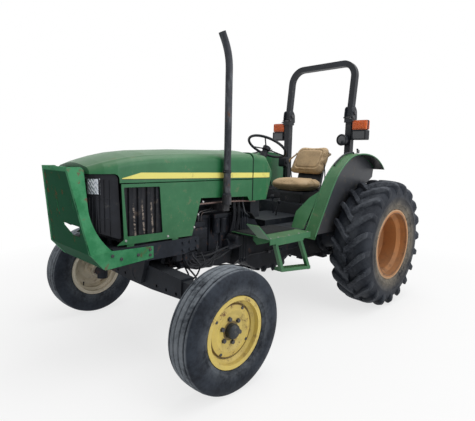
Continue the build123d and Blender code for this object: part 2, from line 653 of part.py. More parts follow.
def side_panel(side):
    """Side panel below the seam: full depth in front, a shallow tail above the engine."""
    y0 = HOOD_HALF - SKIN
    rib_y = y0 - 18
    top = SEAM_Z - SEAM_GAP
    edge = NOSE_REAR - GRILLE_GAP
    plate = side_plate([
        (HOOD_REAR, COWL_LOW), (HOOD_REAR, top), (edge - 6, top), (edge - 19, GRILLE_BOTTOM - 5),
        (edge + 30, PANEL_BOTTOM), (PANEL_REAR_BOTTOM, PANEL_BOTTOM - 6),
        (PANEL_REAR_TOP, PANEL_TAIL_Z + 14), (HOOD_REAR + 54, PANEL_TAIL_Z), (HOOD_REAR + 26, COWL_LOW)],
        y0, HOOD_HALF)
    plate -= side_plate(louvre_outline(0.0), y0 - 20, HOOD_HALF + 5, 8)
    top_rail = block(HOOD_REAR + 73, LOUVRE_REAR - 32, rib_y, y0, top - 14, top)
    foot = block(ENGINE_FRONT, NOSE_REAR - 15, rib_y, y0, PANEL_BOTTOM, PANEL_BOTTOM + 14)
    for x in (ENGINE_FRONT + 30, NOSE_REAR - 95):
        foot += block(x, x + 50, rib_y, y0, FRAME_Z1, PANEL_BOTTOM)
    return left_right(plate + top_rail + foot, side)


def louvre_panels():
    """Black louvred inserts, one in each side panel, with upright vanes."""
    y0 = HOOD_HALF - SKIN - 16
    insert = side_plate(louvre_outline(12.0), y0, y0 + 4)
    lip = side_plate(louvre_outline(12.0), y0 + 4, HOOD_HALF - SKIN - 0.2)
    insert += lip - side_plate(louvre_outline(1.0), y0, HOOD_HALF)
    pitch = (LOUVRE_FRONT - LOUVRE_REAR) / LOUVRE_VANES
    for i in range(LOUVRE_VANES):
        x = LOUVRE_REAR + 18 + i * pitch
        vane = [(x - 6, y0 + 3), (x + 34, y0 + 3), (x + 34, y0 + 19)]
        insert += flat_plate(vane, LOUVRE_Z0 + 5, LOUVRE_Z1 - 5)
    return both(insert)


def nose_form():
    """Wrapped form of the grille before its slots and lamp pockets."""
    def section(z, front, front_half):
        rear = NOSE_REAR - 30
        rear_half = HOOD_HALF - 20
        points = [(rear, -rear_half), (front - 30, -front_half), (front, 40 - front_half),
                  (front, front_half - 40), (front - 30, front_half), (rear, rear_half)]
        return Plane.XY.offset(z) * Polygon(*points, align=None)
    form = loft([section(GRILLE_BOTTOM, NOSE_FRONT - 22, HOOD_HALF - 60),
                 section(GRILLE_TOP, NOSE_FRONT - 8, HOOD_HALF - 72)], ruled=True)
    across = Plane(origin=(0, -400, 0), x_dir=(1, 0, 0), z_dir=(0, -1, 0))
    return form & extrude(across * nose_window(0.0), 800, dir=(0, 1, 0))


def lamp_box(shrink):
    """Corner of the nose taken by the left headlight."""
    return block(HEADLIGHT_REAR + shrink, NOSE_FRONT + 40, HEADLIGHT_Y + shrink, HOOD_HALF + 40,
                 HEADLIGHT_Z0 + shrink, HEADLIGHT_Z1 - shrink)


def grille():
    """Nose insert under the hood: wraps the front corners, with upright slots and lamp pockets."""
    body = nose_form() - both(lamp_box(0.0))
    reach = HOOD_HALF - 138
    half = GRILLE_SLOT_W / 2
    heights = (GRILLE_CHIN_Z + 20, GRILLE_TOP - 34)
    for i in range(GRILLE_SLOTS):
        y = -reach + i * 2 * reach / (GRILLE_SLOTS - 1)
        body -= block(NOSE_FRONT - 52, NOSE_FRONT + 10, y - half, y + half, *heights)
    return body


def headlights():
    """Square lamp in each corner of the nose, flush with the grille around it."""
    return both(nose_form() & lamp_box(HEADLIGHT_GAP)) + both(
        block(HEADLIGHT_REAR, HEADLIGHT_REAR + 4, HEADLIGHT_Y + 10, HEADLIGHT_Y + 26,
              HEADLIGHT_Z0 + 30, HEADLIGHT_Z1 - 30))


def front_guard():
    """Brush guard: leaning plate with rounded top and cut-outs, curved cheeks, toe and frame legs."""
    tx, ty, tz = GUARD_TOP
    kx, ky, kz = GUARD_KNEE
    ox, oy, oz = GUARD_TOE
    run = hypot(tx - kx, tz - kz)
    lean = Plane(origin=(kx, 0, kz), x_dir=(0, 1, 0), z_dir=(tz - kz, 0, -(tx - kx)))
    plate = Polygon((-ky, 0), (ky, 0), (ty, run), (-ty, run), align=None)
    plate = fillet(plate.vertices().group_by(Axis.Y)[-1], GUARD_CORNER_R)
    plate -= fillet(Polygon((-60, 168), (228, 170), (200, 95), (90, 95), align=None).vertices(), 12)
    plate -= fillet(Polygon((-56, 212), (-44, 212), (-44, 320), (-56, 320), align=None).vertices(), 5)
    plate -= fillet(Polygon((180, 260), (191, 260), (191, 352), (180, 352), align=None).vertices(), 5)
    front = extrude(lean * plate, GUARD_T, dir=-lean.z_dir)
    toe_plane = Plane(origin=(ox, 0, oz), x_dir=(0, 1, 0), z_dir=(kz - oz, 0, -(kx - ox)))
    toe_run = hypot(kx - ox, kz - oz)
    toe_line = Polygon((-oy, 0), (oy, 0), (ky, toe_run), (-ky, toe_run), align=None)
    toe = extrude(toe_plane * toe_line, GUARD_T, dir=-toe_plane.z_dir)
    tilt = atan2(ky - ty, tz - kz)
    side_axis = Plane(origin=(0, ky, kz), x_dir=(1, 0, 0), z_dir=(0, -cos(tilt), -sin(tilt)))
    length = (tz - kz) / cos(tilt)
    rear = GUARD_CHEEK_X
    foot_x = kx - 144
    outline = [
        Line((kx, 0), (tx, length)),
        Line((tx, length), (rear + 22, length)),
        ThreePointArc((rear + 22, length), (rear + 5, length - 9), (rear - 2, length - 26)),
        Line((rear - 2, length - 26), (rear, 262)),
        ThreePointArc((rear, 262), (rear - 35, 128), (foot_x, 4)),
        Line((foot_x, 4), (kx, 0)),
    ]
    cheek = extrude(side_axis * make_face(outline), GUARD_T, dir=side_axis.z_dir)
    leg = side_plate(
        [(kx, kz), (ox, oz), (ox - 128, GUARD_LEG_Z0 - 16), (GUARD_LEG_REAR, GUARD_LEG_Z0),
         (GUARD_LEG_REAR, GUARD_LEG_Z1), (foot_x - 20, GUARD_LEG_Z1 + 6), (foot_x, kz + 8)],
        FRAME_HALF, FRAME_HALF + GUARD_T)
    return front + toe + both(cheek) + both(leg)


def cowl():
    """Green cowl behind the hood, its sides drawn in to the instrument panel at the rear."""
    faces = []
    for x, narrowing, low, high, turn in COWL_SECTIONS:
        half = HOOD_HALF - narrowing
        outline = Polygon((-half, low), (half, low), (half, high), (-half, high), align=None)
        outline = fillet(outline.vertices().group_by(Axis.Y)[-1], turn)
        faces.append(Plane(origin=(x, 0, 0), x_dir=(0, 1, 0), z_dir=(1, 0, 0)) * outline)
    inside = HOOD_HALF - 28
    body = loft(faces, ruled=True) - block(COWL_FRONT - 60, COWL_FRONT + 5, -inside, inside, 1090, 1400)
    z = HOOD_HINGE_Z
    y = HINGE_EAR_Y
    ear = block(COWL_FRONT - 2, HOOD_REAR, y - 4, y + 4, z - 18, z - 3)
    body += both(ear + cross_rod(HOOD_REAR, z, y - 4, y + 4, HINGE_R - 1))
    return body + cross_rod(HOOD_REAR, z, -y, y, HINGE_PIN_R)


def instrument_panel():
    """Dark panel lying on the sloping rear of the cowl, facing the driver."""
    x1, z1 = COWL_SECTIONS[1][0], COWL_SECTIONS[1][3]
    x0, z0 = COWL_SECTIONS[2][0], COWL_SECTIONS[2][3]
    run = hypot(x1 - x0, z1 - z0)
    along = ((x1 - x0) / run, (z1 - z0) / run)
    out = (-along[1], along[0])
    line = []
    for reach, height in ((8, SEAT_GAP), (run - 6, SEAT_GAP), (run - 12, DASH_T), (14, DASH_T)):
        line.append((x0 + along[0] * reach + out[0] * height, z0 + along[1] * reach + out[1] * height))
    return side_plate(line, -DASH_HALF, DASH_HALF)


def firewall():
    """Upright plate box between the clutch housing and the cowl."""
    half = HOOD_HALF - 68
    return block(FIREWALL_REAR, BELL_REAR, -half, half, BELL_TOP, COWL_LOW)


def steering_axis():
    """Unit vector up the steering column."""
    return Vector(-sin(radians(WHEEL_TILT)), 0, cos(radians(WHEEL_TILT)))


def steering_column():
    """Column tube and its boot, rising from the firewall's foot to the wheel."""
    hub = Vector(WHEEL_HUB[0], 0, WHEEL_HUB[1])
    axis = steering_axis()
    high = hub - axis * 34
    tube = rod(tuple(hub - axis * 690), tuple(high), COLUMN_R)
    shaft = rod(tuple(high), tuple(hub - axis * SEAT_GAP), 13)
    column = tube + shaft - block(FIREWALL_REAR, FIREWALL_REAR + 300, -100, 100, 700, 1300)
    return column - block(1000, 1400, -100, 100, 700, BELL_TOP + 2)


def steering_wheel():
    """Dished three-spoke wheel with its grip ring and centre cap."""
    tilt = radians(WHEEL_TILT)
    place = Plane(origin=(WHEEL_HUB[0], 0, WHEEL_HUB[1]), x_dir=(cos(tilt), 0, sin(tilt)),
                  z_dir=tuple(steering_axis()))
    body = Pos(0, 0, WHEEL_DISH) * Torus(WHEEL_R - WHEEL_GRIP_R, WHEEL_GRIP_R)
    body += Cylinder(36, 34, align=(Align.CENTER, Align.CENTER, Align.MIN))
    for turn in (30, 150, 270):
        a = radians(turn)
        reach = WHEEL_R - WHEEL_GRIP_R - 2
        body += rod((30 * cos(a), 30 * sin(a), 17), (reach * cos(a), reach * sin(a), WHEEL_DISH), 6)
    return place * body


def exhaust_pipe():
    """Upright exhaust pipe on the left side, its tip swept forward in a long bend."""
    path = Polyline((EXHAUST_X, EXHAUST_BASE_Z), (EXHAUST_X, EXHAUST_BEND_Z), EXHAUST_TIP)
    path = fillet(path.vertices().sort_by(Axis.Y)[1], EXHAUST_BEND_R)
    plane = Plane(origin=(0, EXHAUST_Y, 0), x_dir=(1, 0, 0), z_dir=(0, -1, 0))
    start = Plane(origin=(EXHAUST_X, EXHAUST_Y, EXHAUST_BASE_Z), z_dir=(0, 0, 1))
    outer = sweep(start * Circle(EXHAUST_R), plane * path)
    inner = sweep(start * Circle(EXHAUST_R - EXHAUST_WALL), plane * path)
    collar = post(EXHAUST_X, EXHAUST_Y, EXHAUST_BASE_Z, EXHAUST_BASE_Z + 70, EXHAUST_R + 8)
    elbow = block(EXHAUST_X - 30, EXHAUST_X + 30, 125, EXHAUST_Y, EXHAUST_BASE_Z - 52, EXHAUST_BASE_Z)
    return outer + collar + elbow - inner


# ---- operator's place --------------------------------------------------------------------------
def platform(side):
    """Foot plate with its apron, kicked-up toe strip and the hanging step loop."""
    z = PLATFORM_Z
    t = PLATFORM_T
    x0 = PLATFORM_REAR
    x1 = PLATFORM_FRONT
    kx, kz = KICK_TOP
    floor = block(x0, x1, TUNNEL_HALF, PLATFORM_HALF, z - t, z)
    floor += block(x0, x1, PLATFORM_HALF - t, PLATFORM_HALF, z - APRON, z)
    kick = side_plate([(x1 - 4, z - t), (x1 - 4, z), (kx - 4, kz), (kx + 2, kz - 4), (x1 + 2, z - t)],
                      KICK_INNER, PLATFORM_HALF)
    riser = side_plate([(x0, z - 156), (x0 + 205, z - 156), (x0 + 255, z - 106), (x0 + 255, z - t),
                        (x0, z - t)], TUNNEL_HALF, TUNNEL_HALF + t)
    inner = STEP_Y - STEP_BAR / 2
    outer = STEP_Y + STEP_BAR / 2
    top = z - APRON + 2
    loop = side_plate([(x0 + 410, top), (x0 + 440, top), (x0 + 345, 520), (x0 + 317, 530)], inner, outer)
    loop += side_plate([(x0 + 100, top), (x0 + 130, top), (x0 - 10, 478), (x0 - 40, 488)], inner, outer)
    loop += side_plate([(x0 - 40, 478), (x0 + 345, 520), (x0 + 347, 548), (x0 - 38, 506)], inner - 45, outer)
    loop += block(x0 + 95, x0 + 445, inner, PLATFORM_HALF, top - 16, top + 4)
    return left_right(floor + kick + riser + loop, side)


def fender_points(shrink):
    """The fender's line as points, drawn in towards the axle."""
    points = []
    for angle, gap in FENDER_LINE:
        reach = REAR_TYRE_R + gap - shrink
        points.append((reach * cos(radians(angle)), AXLE_Z + reach * sin(radians(angle))))
    return points


def fender_edges(points):
    """Straight from the foot, then arcs through every other point."""
    edges = [Line(points[0], points[1])]
    for i in range(1, len(points) - 2, 2):
        edges.append(ThreePointArc(points[i], points[i + 1], points[i + 2]))
    return edges


def fender(side):
    """Fender: upright inner wall and a strip that follows the tyre from the platform over the top."""
    outer_points = fender_points(0.0)
    inner_points = fender_points(FENDER_T)
    outer = fender_edges(outer_points)
    inner = fender_edges(inner_points)
    foot = Line(inner_points[0], outer_points[0])
    tail = Line(outer_points[-1], inner_points[-1])
    plane = Plane(origin=(0, FENDER_INNER, 0), x_dir=(1, 0, 0), z_dir=(0, -1, 0))
    strip_face = plane * make_face(outer + [tail] + inner + [foot])
    strip = extrude(strip_face, FENDER_OUTER - FENDER_INNER, dir=(0, 1, 0))
    corners = [outer_points[-1], (outer_points[-1][0] + 14, AXLE_Z + 622), (130, AXLE_Z + 440),
               (430, outer_points[0][1]), outer_points[0]]
    wall_edges = outer + [Line(a, b) for a, b in zip(corners, corners[1:])]
    wall = extrude(plane * make_face(wall_edges), FENDER_T, dir=(0, -1, 0))
    return left_right(strip + wall, side)


def seat_deck():
    """Deck under the seat, bridging the fender walls, with the riser in front and the tunnel cover."""
    half = FENDER_INNER - FENDER_T - DECK_GAP
    low = PLATFORM_Z - PLATFORM_T
    cover_half = TUNNEL_HALF - 2
    cover_front = FIREWALL_REAR - 95
    deck = block(DECK_REAR, DECK_FRONT, -half, half, DECK_Z - DECK_T, DECK_Z)
    deck -= both(block(ROPS_X - 60, ROPS_X + 60, ROPS_Y - 50, ROPS_Y + 50, DECK_Z - 20, DECK_Z + 20))
    riser = block(DECK_FRONT - 6, DECK_FRONT, -half, half, PLATFORM_Z, DECK_Z)
    cover = block(DECK_FRONT, cover_front, -cover_half, cover_half, PLATFORM_Z, PLATFORM_Z + TUNNEL_TOP)
    shelf = block(DECK_FRONT - 6, PLATFORM_REAR, -half, half, low, PLATFORM_Z)
    shelf += block(DECK_FRONT, cover_front, -cover_half, cover_half, low, PLATFORM_Z)
    feet = Part() + [block(x, x + 80, y, y + 70, CASE_TOP, low) for x in (600, 900) for y in (-140, 70)]
    return deck + riser + cover + shelf + feet


def seat_base():
    """Seat suspension: bellows block, top pan and the back frame."""
    low = SEAT_PAN_Z - SEAT_PAN_T
    base = block(SEAT_X - 150, SEAT_X + 130, -130, 130, DECK_Z, low)
    pan = block(SEAT_X - 190, SEAT_X + 185, -200, 200, low, SEAT_PAN_Z)
    x0, z0 = BACK_LEAN_LOW
    x1, z1 = BACK_LEAN_HIGH
    back = side_plate([(SEAT_X - 190, SEAT_PAN_Z), (SEAT_X - 150, SEAT_PAN_Z), (x0, z0), (x1, z1),
                       (x1 - 20, z1 - 8), (x0 - 28, z0 - 10)], -150, 150)
    return base + pan + back


def seat_cushion():
    """Seat cushion: a plain closed body under the modelled upholstery."""
    low = SEAT_PAN_Z + 0.5
    top = SEAT_PAN_Z + CUSHION_T
    x = SEAT_X
    body = side_plate([(x - 130, low), (x - 130, top - 30), (x - 100, top - 10), (x + 60, top - 14),
                       (x + 140, top), (x + 195, top - 24), (x + 210, top - 70), (x + 180, low)], -240, 240)
    plan = [(x - 130, -215), (x, -236), (x + 140, -224), (x + 210, -180), (x + 210, 180), (x + 140, 224),
            (x, 236), (x - 130, 215)]
    return body & flat_plate(plan, low - 5, top + 5)


def seat_backrest():
    """Backrest: a plain closed body leaning with the frame, narrower at the top."""
    x0, z0 = BACK_LEAN_LOW[0] + SEAT_GAP, BACK_LEAN_LOW[1] + SEAT_GAP
    x1, z1 = BACK_LEAN_HIGH[0] + SEAT_GAP, BACK_LEAN_HIGH[1] + SEAT_GAP
    half = BACK_HALF
    body = side_plate([(x0 + 56, z0 - 60), (x0, z0), (x1, z1), (x1 + 18, z1 + 44), (x1 + 62, z1 + 48),
                       (x1 + 112, z1 - 38), (x0 + 96, z0 - 4), (x0 + 124, z0 - 52), (x0 + 104, z0 - 68)],
                      -half, half)
    front = [(half - 80, z1 + 50), (half - 40, z1 + 20), (half, z0 + 110), (half, z0 - 30),
             (half - 30, z0 - 75)]
    front += [(-y, z) for y, z in front[::-1]]
    return body & cross_plate(front, x1 - 50, x0 + 200)


# ---- roll bar ----------------------------------------------------------------------------------
def rops_legs():
    """Lower posts of the roll bar with their base plates and pivot cheeks."""
    half = ROPS_LEG / 2
    x = ROPS_X
    y = ROPS_Y
    z = ROPS_PIVOT_Z
    leg = block(x - half, x + half, y - half, y + half, ROPS_BASE_Z + 16, z - 96)
    foot = block(x - 78, x + 78, y - 62, y + 62, ROPS_BASE_Z, ROPS_BASE_Z + 16)
    gap = ROPS_HOOP_W / 2 + ROPS_SIDE_PLAY
    reach = gap + ROPS_CHEEK_T
    head = block(x - 40, x + 44, y - reach, y + reach, z - 96, z - 58)
    outline = [(x - 40, z - 96), (x - 40, z + 36), (x - 16, z + 60), (x + 22, z + 60), (x + 44, z + 36),
               (x + 44, z - 96)]
    cheeks = side_plate(outline, y + gap, y + reach) + side_plate(outline, y - reach, y - gap)
    body = leg + foot + head + cheeks
    return both(body - cross_rod(x, z, y - 60, y + 60, ROPS_BOLT_R + RUN_FIT))


def rops_hoop():
    """Upper hoop that folds back about the two pivot bolts, which it carries."""
    lean = radians(ROPS_LEAN)
    place = Plane(origin=(ROPS_X, 0, ROPS_PIVOT_Z), x_dir=(0, 1, 0), z_dir=(cos(lean), 0, sin(lean)))
    low = -34.0
    top = (ROPS_TOP_Z - ROPS_PIVOT_Z - ROPS_HOOP_D / 2 * sin(lean)) / cos(lean)
    outer_y = ROPS_Y + ROPS_HOOP_W / 2
    inner_y = ROPS_Y - ROPS_HOOP_W / 2
    outer = Polygon((-outer_y, low), (-outer_y, top), (outer_y, top), (outer_y, low), align=None)
    outer = fillet(outer.vertices().group_by(Axis.Y)[-1], ROPS_CORNER_R)
    cut = top - ROPS_HOOP_W
    inner = Polygon((-inner_y, low - 5), (-inner_y, cut), (inner_y, cut), (inner_y, low - 5), align=None)
    inner = fillet(inner.vertices().group_by(Axis.Y)[-1], ROPS_CORNER_R - ROPS_HOOP_W)
    hoop = extrude(place * (outer - inner), ROPS_HOOP_D / 2, both=True)
    return hoop + both(cross_rod(ROPS_X, ROPS_PIVOT_Z, ROPS_Y - 50, ROPS_Y + 50, ROPS_BOLT_R))


def lamps(z0, z1, depth):
    """A pair of box lamps outboard of the roll bar posts."""
    y0 = ROPS_Y + ROPS_LEG / 2 + 14
    body = block(ROPS_X - depth / 2, ROPS_X + depth / 2, y0, y0 + LAMP_REACH, z0, z1)
    return both(fillet(body.edges().filter_by(Axis.X), 10))


def lamp_brackets():
    """Brackets that hold the lamps on the posts."""
    y0 = ROPS_Y + ROPS_LEG / 2
    plate = block(ROPS_X - 20, ROPS_X + 20, y0, y0 + 14, LAMP_Z, AMBER_Z + 66)
    shelf = block(ROPS_X - 20, ROPS_X + 20, y0 + 14, y0 + 130, AMBER_Z - 3.8, AMBER_Z - 0.2)
    return both(plate + shelf)


def round_lamp():
    """Round lamp on the front of the left post."""
    y, z = ROUND_LAMP
    x = ROPS_X + ROPS_LEG / 2
    arm = rod((x, y, z), (x + 12, y, z), 12)
    return arm + rod((x + 12, y, z), (x + 30, y, z), 38) + rod((x + 30, y, z), (x + 66, y, z), ROUND_LAMP_R)


# ---- rear linkage ------------------------------------------------------------------------------
def lift_arms():
    """Rockshaft with its two lift arms."""
    x = ROCKSHAFT_X
    z = ROCKSHAFT_Z
    tip = x - ARM_LENGTH
    shaft = cross_rod(x, z, -ARM_Y - 24, ARM_Y + 24, ROCKSHAFT_R)
    arm = side_plate([(x + 44, z + 30), (x + 44, z - 30), (x, z - 52), (tip, z - 26), (tip - 28, z),
                      (tip, z + 26), (x, z + 52)], ARM_Y - 20, ARM_Y + 20)
    eye = cross_rod(tip, z, ARM_Y - 30, ARM_Y + 30, ARM_PIN_R + RUN_FIT)
    return shaft + both(arm - eye)


def yoke(x, y, inner, outer, z0, z1):
    """Two upright cheeks on either side of a bar."""
    left = block(x - 21, x + 21, y + inner, y + outer, z0, z1)
    return left + block(x - 21, x + 21, y - outer, y - inner, z0, z1)


def lift_rod(side):
    """Lift rod between a lift arm and its lower link, forked over each."""
    top = ROCKSHAFT_X - ARM_LENGTH
    low = LINK_X - ARM_LENGTH
    low_y = link_y(ARM_LENGTH)
    z1 = ROCKSHAFT_Z
    z0 = LINK_Z
    fork = yoke(top, ARM_Y, 22, 34, z1 - 70, z1 + 22)
    fork += block(top - 21, top + 21, ARM_Y - 34, ARM_Y + 34, z1 - 84, z1 - 66)
    fork += cross_rod(top, z1, ARM_Y - 34, ARM_Y + 34, ARM_PIN_R)
    foot = yoke(low, low_y, FORK_HALF, FORK_HALF + 10, z0 - 22, z0 + 72)
    foot += block(low - 21, low + 21, low_y - FORK_HALF - 10, low_y + FORK_HALF + 10, z0 + 58, z0 + 76)
    foot += cross_rod(low, z0, low_y - FORK_HALF - 10, low_y + FORK_HALF + 10, LIFT_PIN_R)
    bar = rod((top, ARM_Y, z1 - 72), (low, low_y, z0 + 68), 16)
    return left_right(fork + foot + bar, side)


def link_y(along):
    """Distance of the lower link's centre line from the middle, that far behind its pivot."""
    straight = 60.0
    spread = max(0.0, along - straight) / (LINK_X - BALL_X - straight)
    return LINK_Y + (BALL_Y - LINK_Y) * spread


def lower_link(side):
    """Lower link: a flat bar that spreads outward, with a ball eye at each end."""
    x0 = LINK_X
    x1 = BALL_X
    y0 = LINK_Y
    y1 = BALL_Y
    z = LINK_Z
    half = LINK_BAR_HALF
    near = [(x0 - 20, y0 - half), (x0 - 60, y0 - half), (x1 + 60, y1 - half - 12), (x1 + 20, y1 - half)]
    far = [(x1 + 20, y1 + half), (x1 + 60, y1 + half - 12), (x0 - 60, y0 + half), (x0 - 20, y0 + half)]
    bar = flat_plate(near + far, z - 32, z + 32)
    body = bar + cross_rod(x0, z, y0 - 20, y0 + 20, 38) + cross_rod(x1, z, y1 - 22, y1 + 22, LINK_EYE_R)
    body -= cross_rod(x0, z, y0 - 40, y0 + 40, LINK_PIN_R + RUN_FIT)
    hook_y = link_y(ARM_LENGTH)
    body -= cross_rod(x0 - ARM_LENGTH, z, hook_y - 40, hook_y + 40, LIFT_PIN_R + RUN_FIT)
    return left_right(body - cross_rod(x1, z, y1 - 40, y1 + 40, LINK_HOLE_R), side)


def pto_shaft():
    """Power take-off stub."""
    stub = rod((PTO_REAR, 0, PTO_Z), (PTO_FACE, 0, PTO_Z), PTO_R)
    return stub + rod((PTO_FACE, 0, PTO_Z), (-130, 0, PTO_Z), PTO_JOURNAL_R)


def top_link_bracket():
    """Bracket for the top link behind the rockshaft housing."""
    x = DRIVE_REAR
    z = DRIVE_TOP
    cheek = side_plate([(x, z - 120), (x - 70, z - 100), (x - 70, z - 50), (x, z - 20)], 24, 40)
    return both(cheek) + cross_rod(x - 44, z - 75, -50, 50, 12)


# ---- all nodes ---------------------------------------------------------------------------------
def nodes():
    """Every piece by name."""
    made = {
        "front_axle": front_axle(),
        "steering_cylinder": steering_cylinder(),
        "steering_rod": steering_rod(),
        "tie_rod": tie_rod(),
        "front_frame": front_frame(),
        "engine": engine(),
        "transmission": transmission(),
        "rear_axle": rear_axle(),
        "link_lugs": link_lugs(),
        "radiator": radiator(),
        "drawbar": drawbar(),
        "hood": hood(),
        "louvre_panels": louvre_panels(),
        "grille": grille(),
        "headlights": headlights(),
        "front_guard": front_guard(),
        "cowl": cowl(),
        "instrument_panel": instrument_panel(),
        "firewall": firewall(),
        "steering_column": steering_column(),
        "steering_wheel": steering_wheel(),
        "exhaust_pipe": exhaust_pipe(),
        "seat_deck": seat_deck(),
        "seat_base": seat_base(),
        "seat_cushion": seat_cushion(),
        "seat_backrest": seat_backrest(),
        "rops_legs": rops_legs(),
        "rops_hoop": rops_hoop(),
        "amber_lamps": lamps(AMBER_Z, AMBER_Z + 90, 60),
        "work_lamps": lamps(LAMP_Z, LAMP_Z + 96, 70),
        "lamp_brackets": lamp_brackets(),
        "round_lamp": round_lamp(),
        "lift_arms": lift_arms(),
        "pto_shaft": pto_shaft(),
        "top_link_bracket": top_link_bracket(),
    }
    for name, side in (("left", 1), ("right", -1)):
        made[f"{name}_knuckle"] = knuckle(side)
        made[f"{name}_side_panel"] = side_panel(side)
        made[f"{name}_platform"] = platform(side)
        made[f"{name}_fender"] = fender(side)
        made[f"{name}_lift_rod"] = lift_rod(side)
        made[f"{name}_lower_link"] = lower_link(side)
        for kind in ("rear", "front"):
            rim, tyre = wheel(kind, side)
            made[f"{kind}_{name}_rim"] = rim
            made[f"{kind}_{name}_tyre"] = tyre
    return made


def finish():
    """Move the pieces to the shared origin and write one file for each."""
    os.makedirs("parts", exist_ok=True)
    for name, shape in nodes().items():
        export_step(Pos(-MIDDLE_X, 0, 0) * shape, f"parts/{name}.step")


finish()
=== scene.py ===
import json
import math

import bmesh
import bpy
import numpy as np
from bpy.props import FloatProperty, FloatVectorProperty, IntProperty, PointerProperty
from bpy.types import Operator, Panel, PropertyGroup
from mathutils import Matrix, Vector
from mathutils.bvhtree import BVHTree


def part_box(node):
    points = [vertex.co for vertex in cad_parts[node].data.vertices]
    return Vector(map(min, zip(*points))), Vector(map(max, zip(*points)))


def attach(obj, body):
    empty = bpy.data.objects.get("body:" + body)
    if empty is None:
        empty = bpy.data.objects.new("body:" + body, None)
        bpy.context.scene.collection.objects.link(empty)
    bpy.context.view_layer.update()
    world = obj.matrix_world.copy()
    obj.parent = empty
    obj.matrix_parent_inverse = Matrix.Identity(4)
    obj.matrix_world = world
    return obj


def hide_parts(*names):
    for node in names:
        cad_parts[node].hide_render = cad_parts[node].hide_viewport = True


bl_info = {
    "name": "Open-Station Farm Tractor",
    "version": (1, 0, 0),
    "blender": (4, 5, 0),
    "location": "View3D > Sidebar > Tractor",
    "description": "Builds the looks of an open-station farm tractor around its packed CAD frame",
    "category": "Object",
}

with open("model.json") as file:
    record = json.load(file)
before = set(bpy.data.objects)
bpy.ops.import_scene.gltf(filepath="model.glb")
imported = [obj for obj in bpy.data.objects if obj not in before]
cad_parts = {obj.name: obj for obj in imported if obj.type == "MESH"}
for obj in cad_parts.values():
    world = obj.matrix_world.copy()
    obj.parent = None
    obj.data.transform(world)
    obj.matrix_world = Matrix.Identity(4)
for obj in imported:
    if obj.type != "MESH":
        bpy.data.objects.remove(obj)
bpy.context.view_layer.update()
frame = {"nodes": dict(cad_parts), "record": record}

# Shapes are worked out in millimetres ahead of the rear axle, to the left and up, as the maker
# would measure them. to_frame() turns them into metres in the shared frame.
MM = 0.001
AXLE_X = (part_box("rear_left_tyre")[0].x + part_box("rear_left_tyre")[1].x) / 2
SIDES = (("left", 1.0), ("right", -1.0))
# radius of a rear tyre, and so the height of the rear axle
TYRE_RADIUS = 608.0


def to_frame(points):
    """The maker's millimetres as metres in the shared frame."""
    return points * MM + (AXLE_X, 0, 0)


def to_maker(points):
    """Metres in the shared frame as the maker's millimetres."""
    return (np.asarray(points) - (AXLE_X, 0, 0)) / MM


def extent(node):
    """Lowest and highest corner of a CAD node in the maker's millimetres."""
    low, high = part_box(node)
    return to_maker(low), to_maker(high)


def middle(node):
    """Middle of a CAD node in the maker's millimetres."""
    low, high = extent(node)
    return (low + high) / 2


# ---- surfaces -------------------------------------------------------------------------------
def grid_faces(nu, nv, wrap_u=False, wrap_v=False):
    """Quads (i, j), (i+1, j), (i+1, j+1), (i, j+1) over an nu by nv grid of points, row by row."""
    rows, columns = nu if wrap_u else nu - 1, nv if wrap_v else nv - 1
    i, j = np.meshgrid(np.arange(rows), np.arange(columns), indexing="ij")
    a, b = (i + 1) % nu, (j + 1) % nv
    return np.stack([i * nv + j, a * nv + j, a * nv + b, i * nv + b], -1).reshape(-1, 4)


def repeated(part, shifts):
    """The same part moved to each of several places: its points plus each shift."""
    points, faces = part
    shifts = np.asarray(shifts, float)
    count = len(points)
    all_points = (points[None] + shifts[:, None]).reshape(-1, 3)
    groups = faces if isinstance(faces, list) else [faces]
    steps = np.arange(len(shifts))[:, None, None] * count
    return all_points, [(group[None] + steps).reshape(-1, group.shape[-1]) for group in groups]


def moved(part, place, turn=np.eye(3)):
    """A part turned by a matrix, whose columns are its new axes, and moved to a place."""
    points, faces = part
    return points @ np.asarray(turn).T + np.asarray(place, float), faces


def turned(profile, centre, segments=48, axis=1):
    """Surface of revolution: every (radius, along) point carried round the axis through the centre.

    With angle t, the two coordinates across the axis are radius cos t and radius sin t. A profile
    that starts and ends on the axis closes in two points; any other profile is a closed loop.
    """
    profile = np.asarray(profile, float)
    t = np.radians(np.linspace(0, 360, segments, endpoint=False))
    grid = np.zeros((segments, len(profile), 3))
    first, second = (axis + 1) % 3, (axis + 2) % 3
    grid[..., axis] = profile[:, 1]
    grid[..., first] = np.outer(np.cos(t), profile[:, 0])
    grid[..., second] = np.outer(np.sin(t), profile[:, 0])
    loop = abs(profile[0, 0]) > 1e-6
    return (grid + np.asarray(centre, float)).reshape(-1, 3), grid_faces(segments, len(profile), True, loop)


def unit(vectors):
    """Every vector brought to length 1."""
    return vectors / np.maximum(np.linalg.norm(vectors, axis=1)[:, None], 1e-9)


def carried(path, side, up, profile):
    """Points of a profile at every point of a path: point + side times u + up times v."""
    return path[:, None] + side[:, None] * profile[None, :, :1] + up[:, None] * profile[None, :, 1:]


def path_frames(path):
    """Side and up directions along a path, worked out from one fixed direction.

    Side is the tangent crossed with that direction, up the tangent crossed with side. The fixed
    direction is the one of 27 that stays furthest from every tangent.
    """
    ahead = unit(np.gradient(path, axis=0))
    choices = unit(np.stack(np.meshgrid((-1, 0.1, 1.2), (-1.1, 0.05, 1), (-0.9, 0.15, 1)), -1).reshape(-1, 3))
    away = np.linalg.norm(np.cross(ahead[:, None], choices[None]), axis=2).min(0)
    side = unit(np.cross(ahead, choices[np.argmax(away)]))
    return side, np.cross(ahead, side)


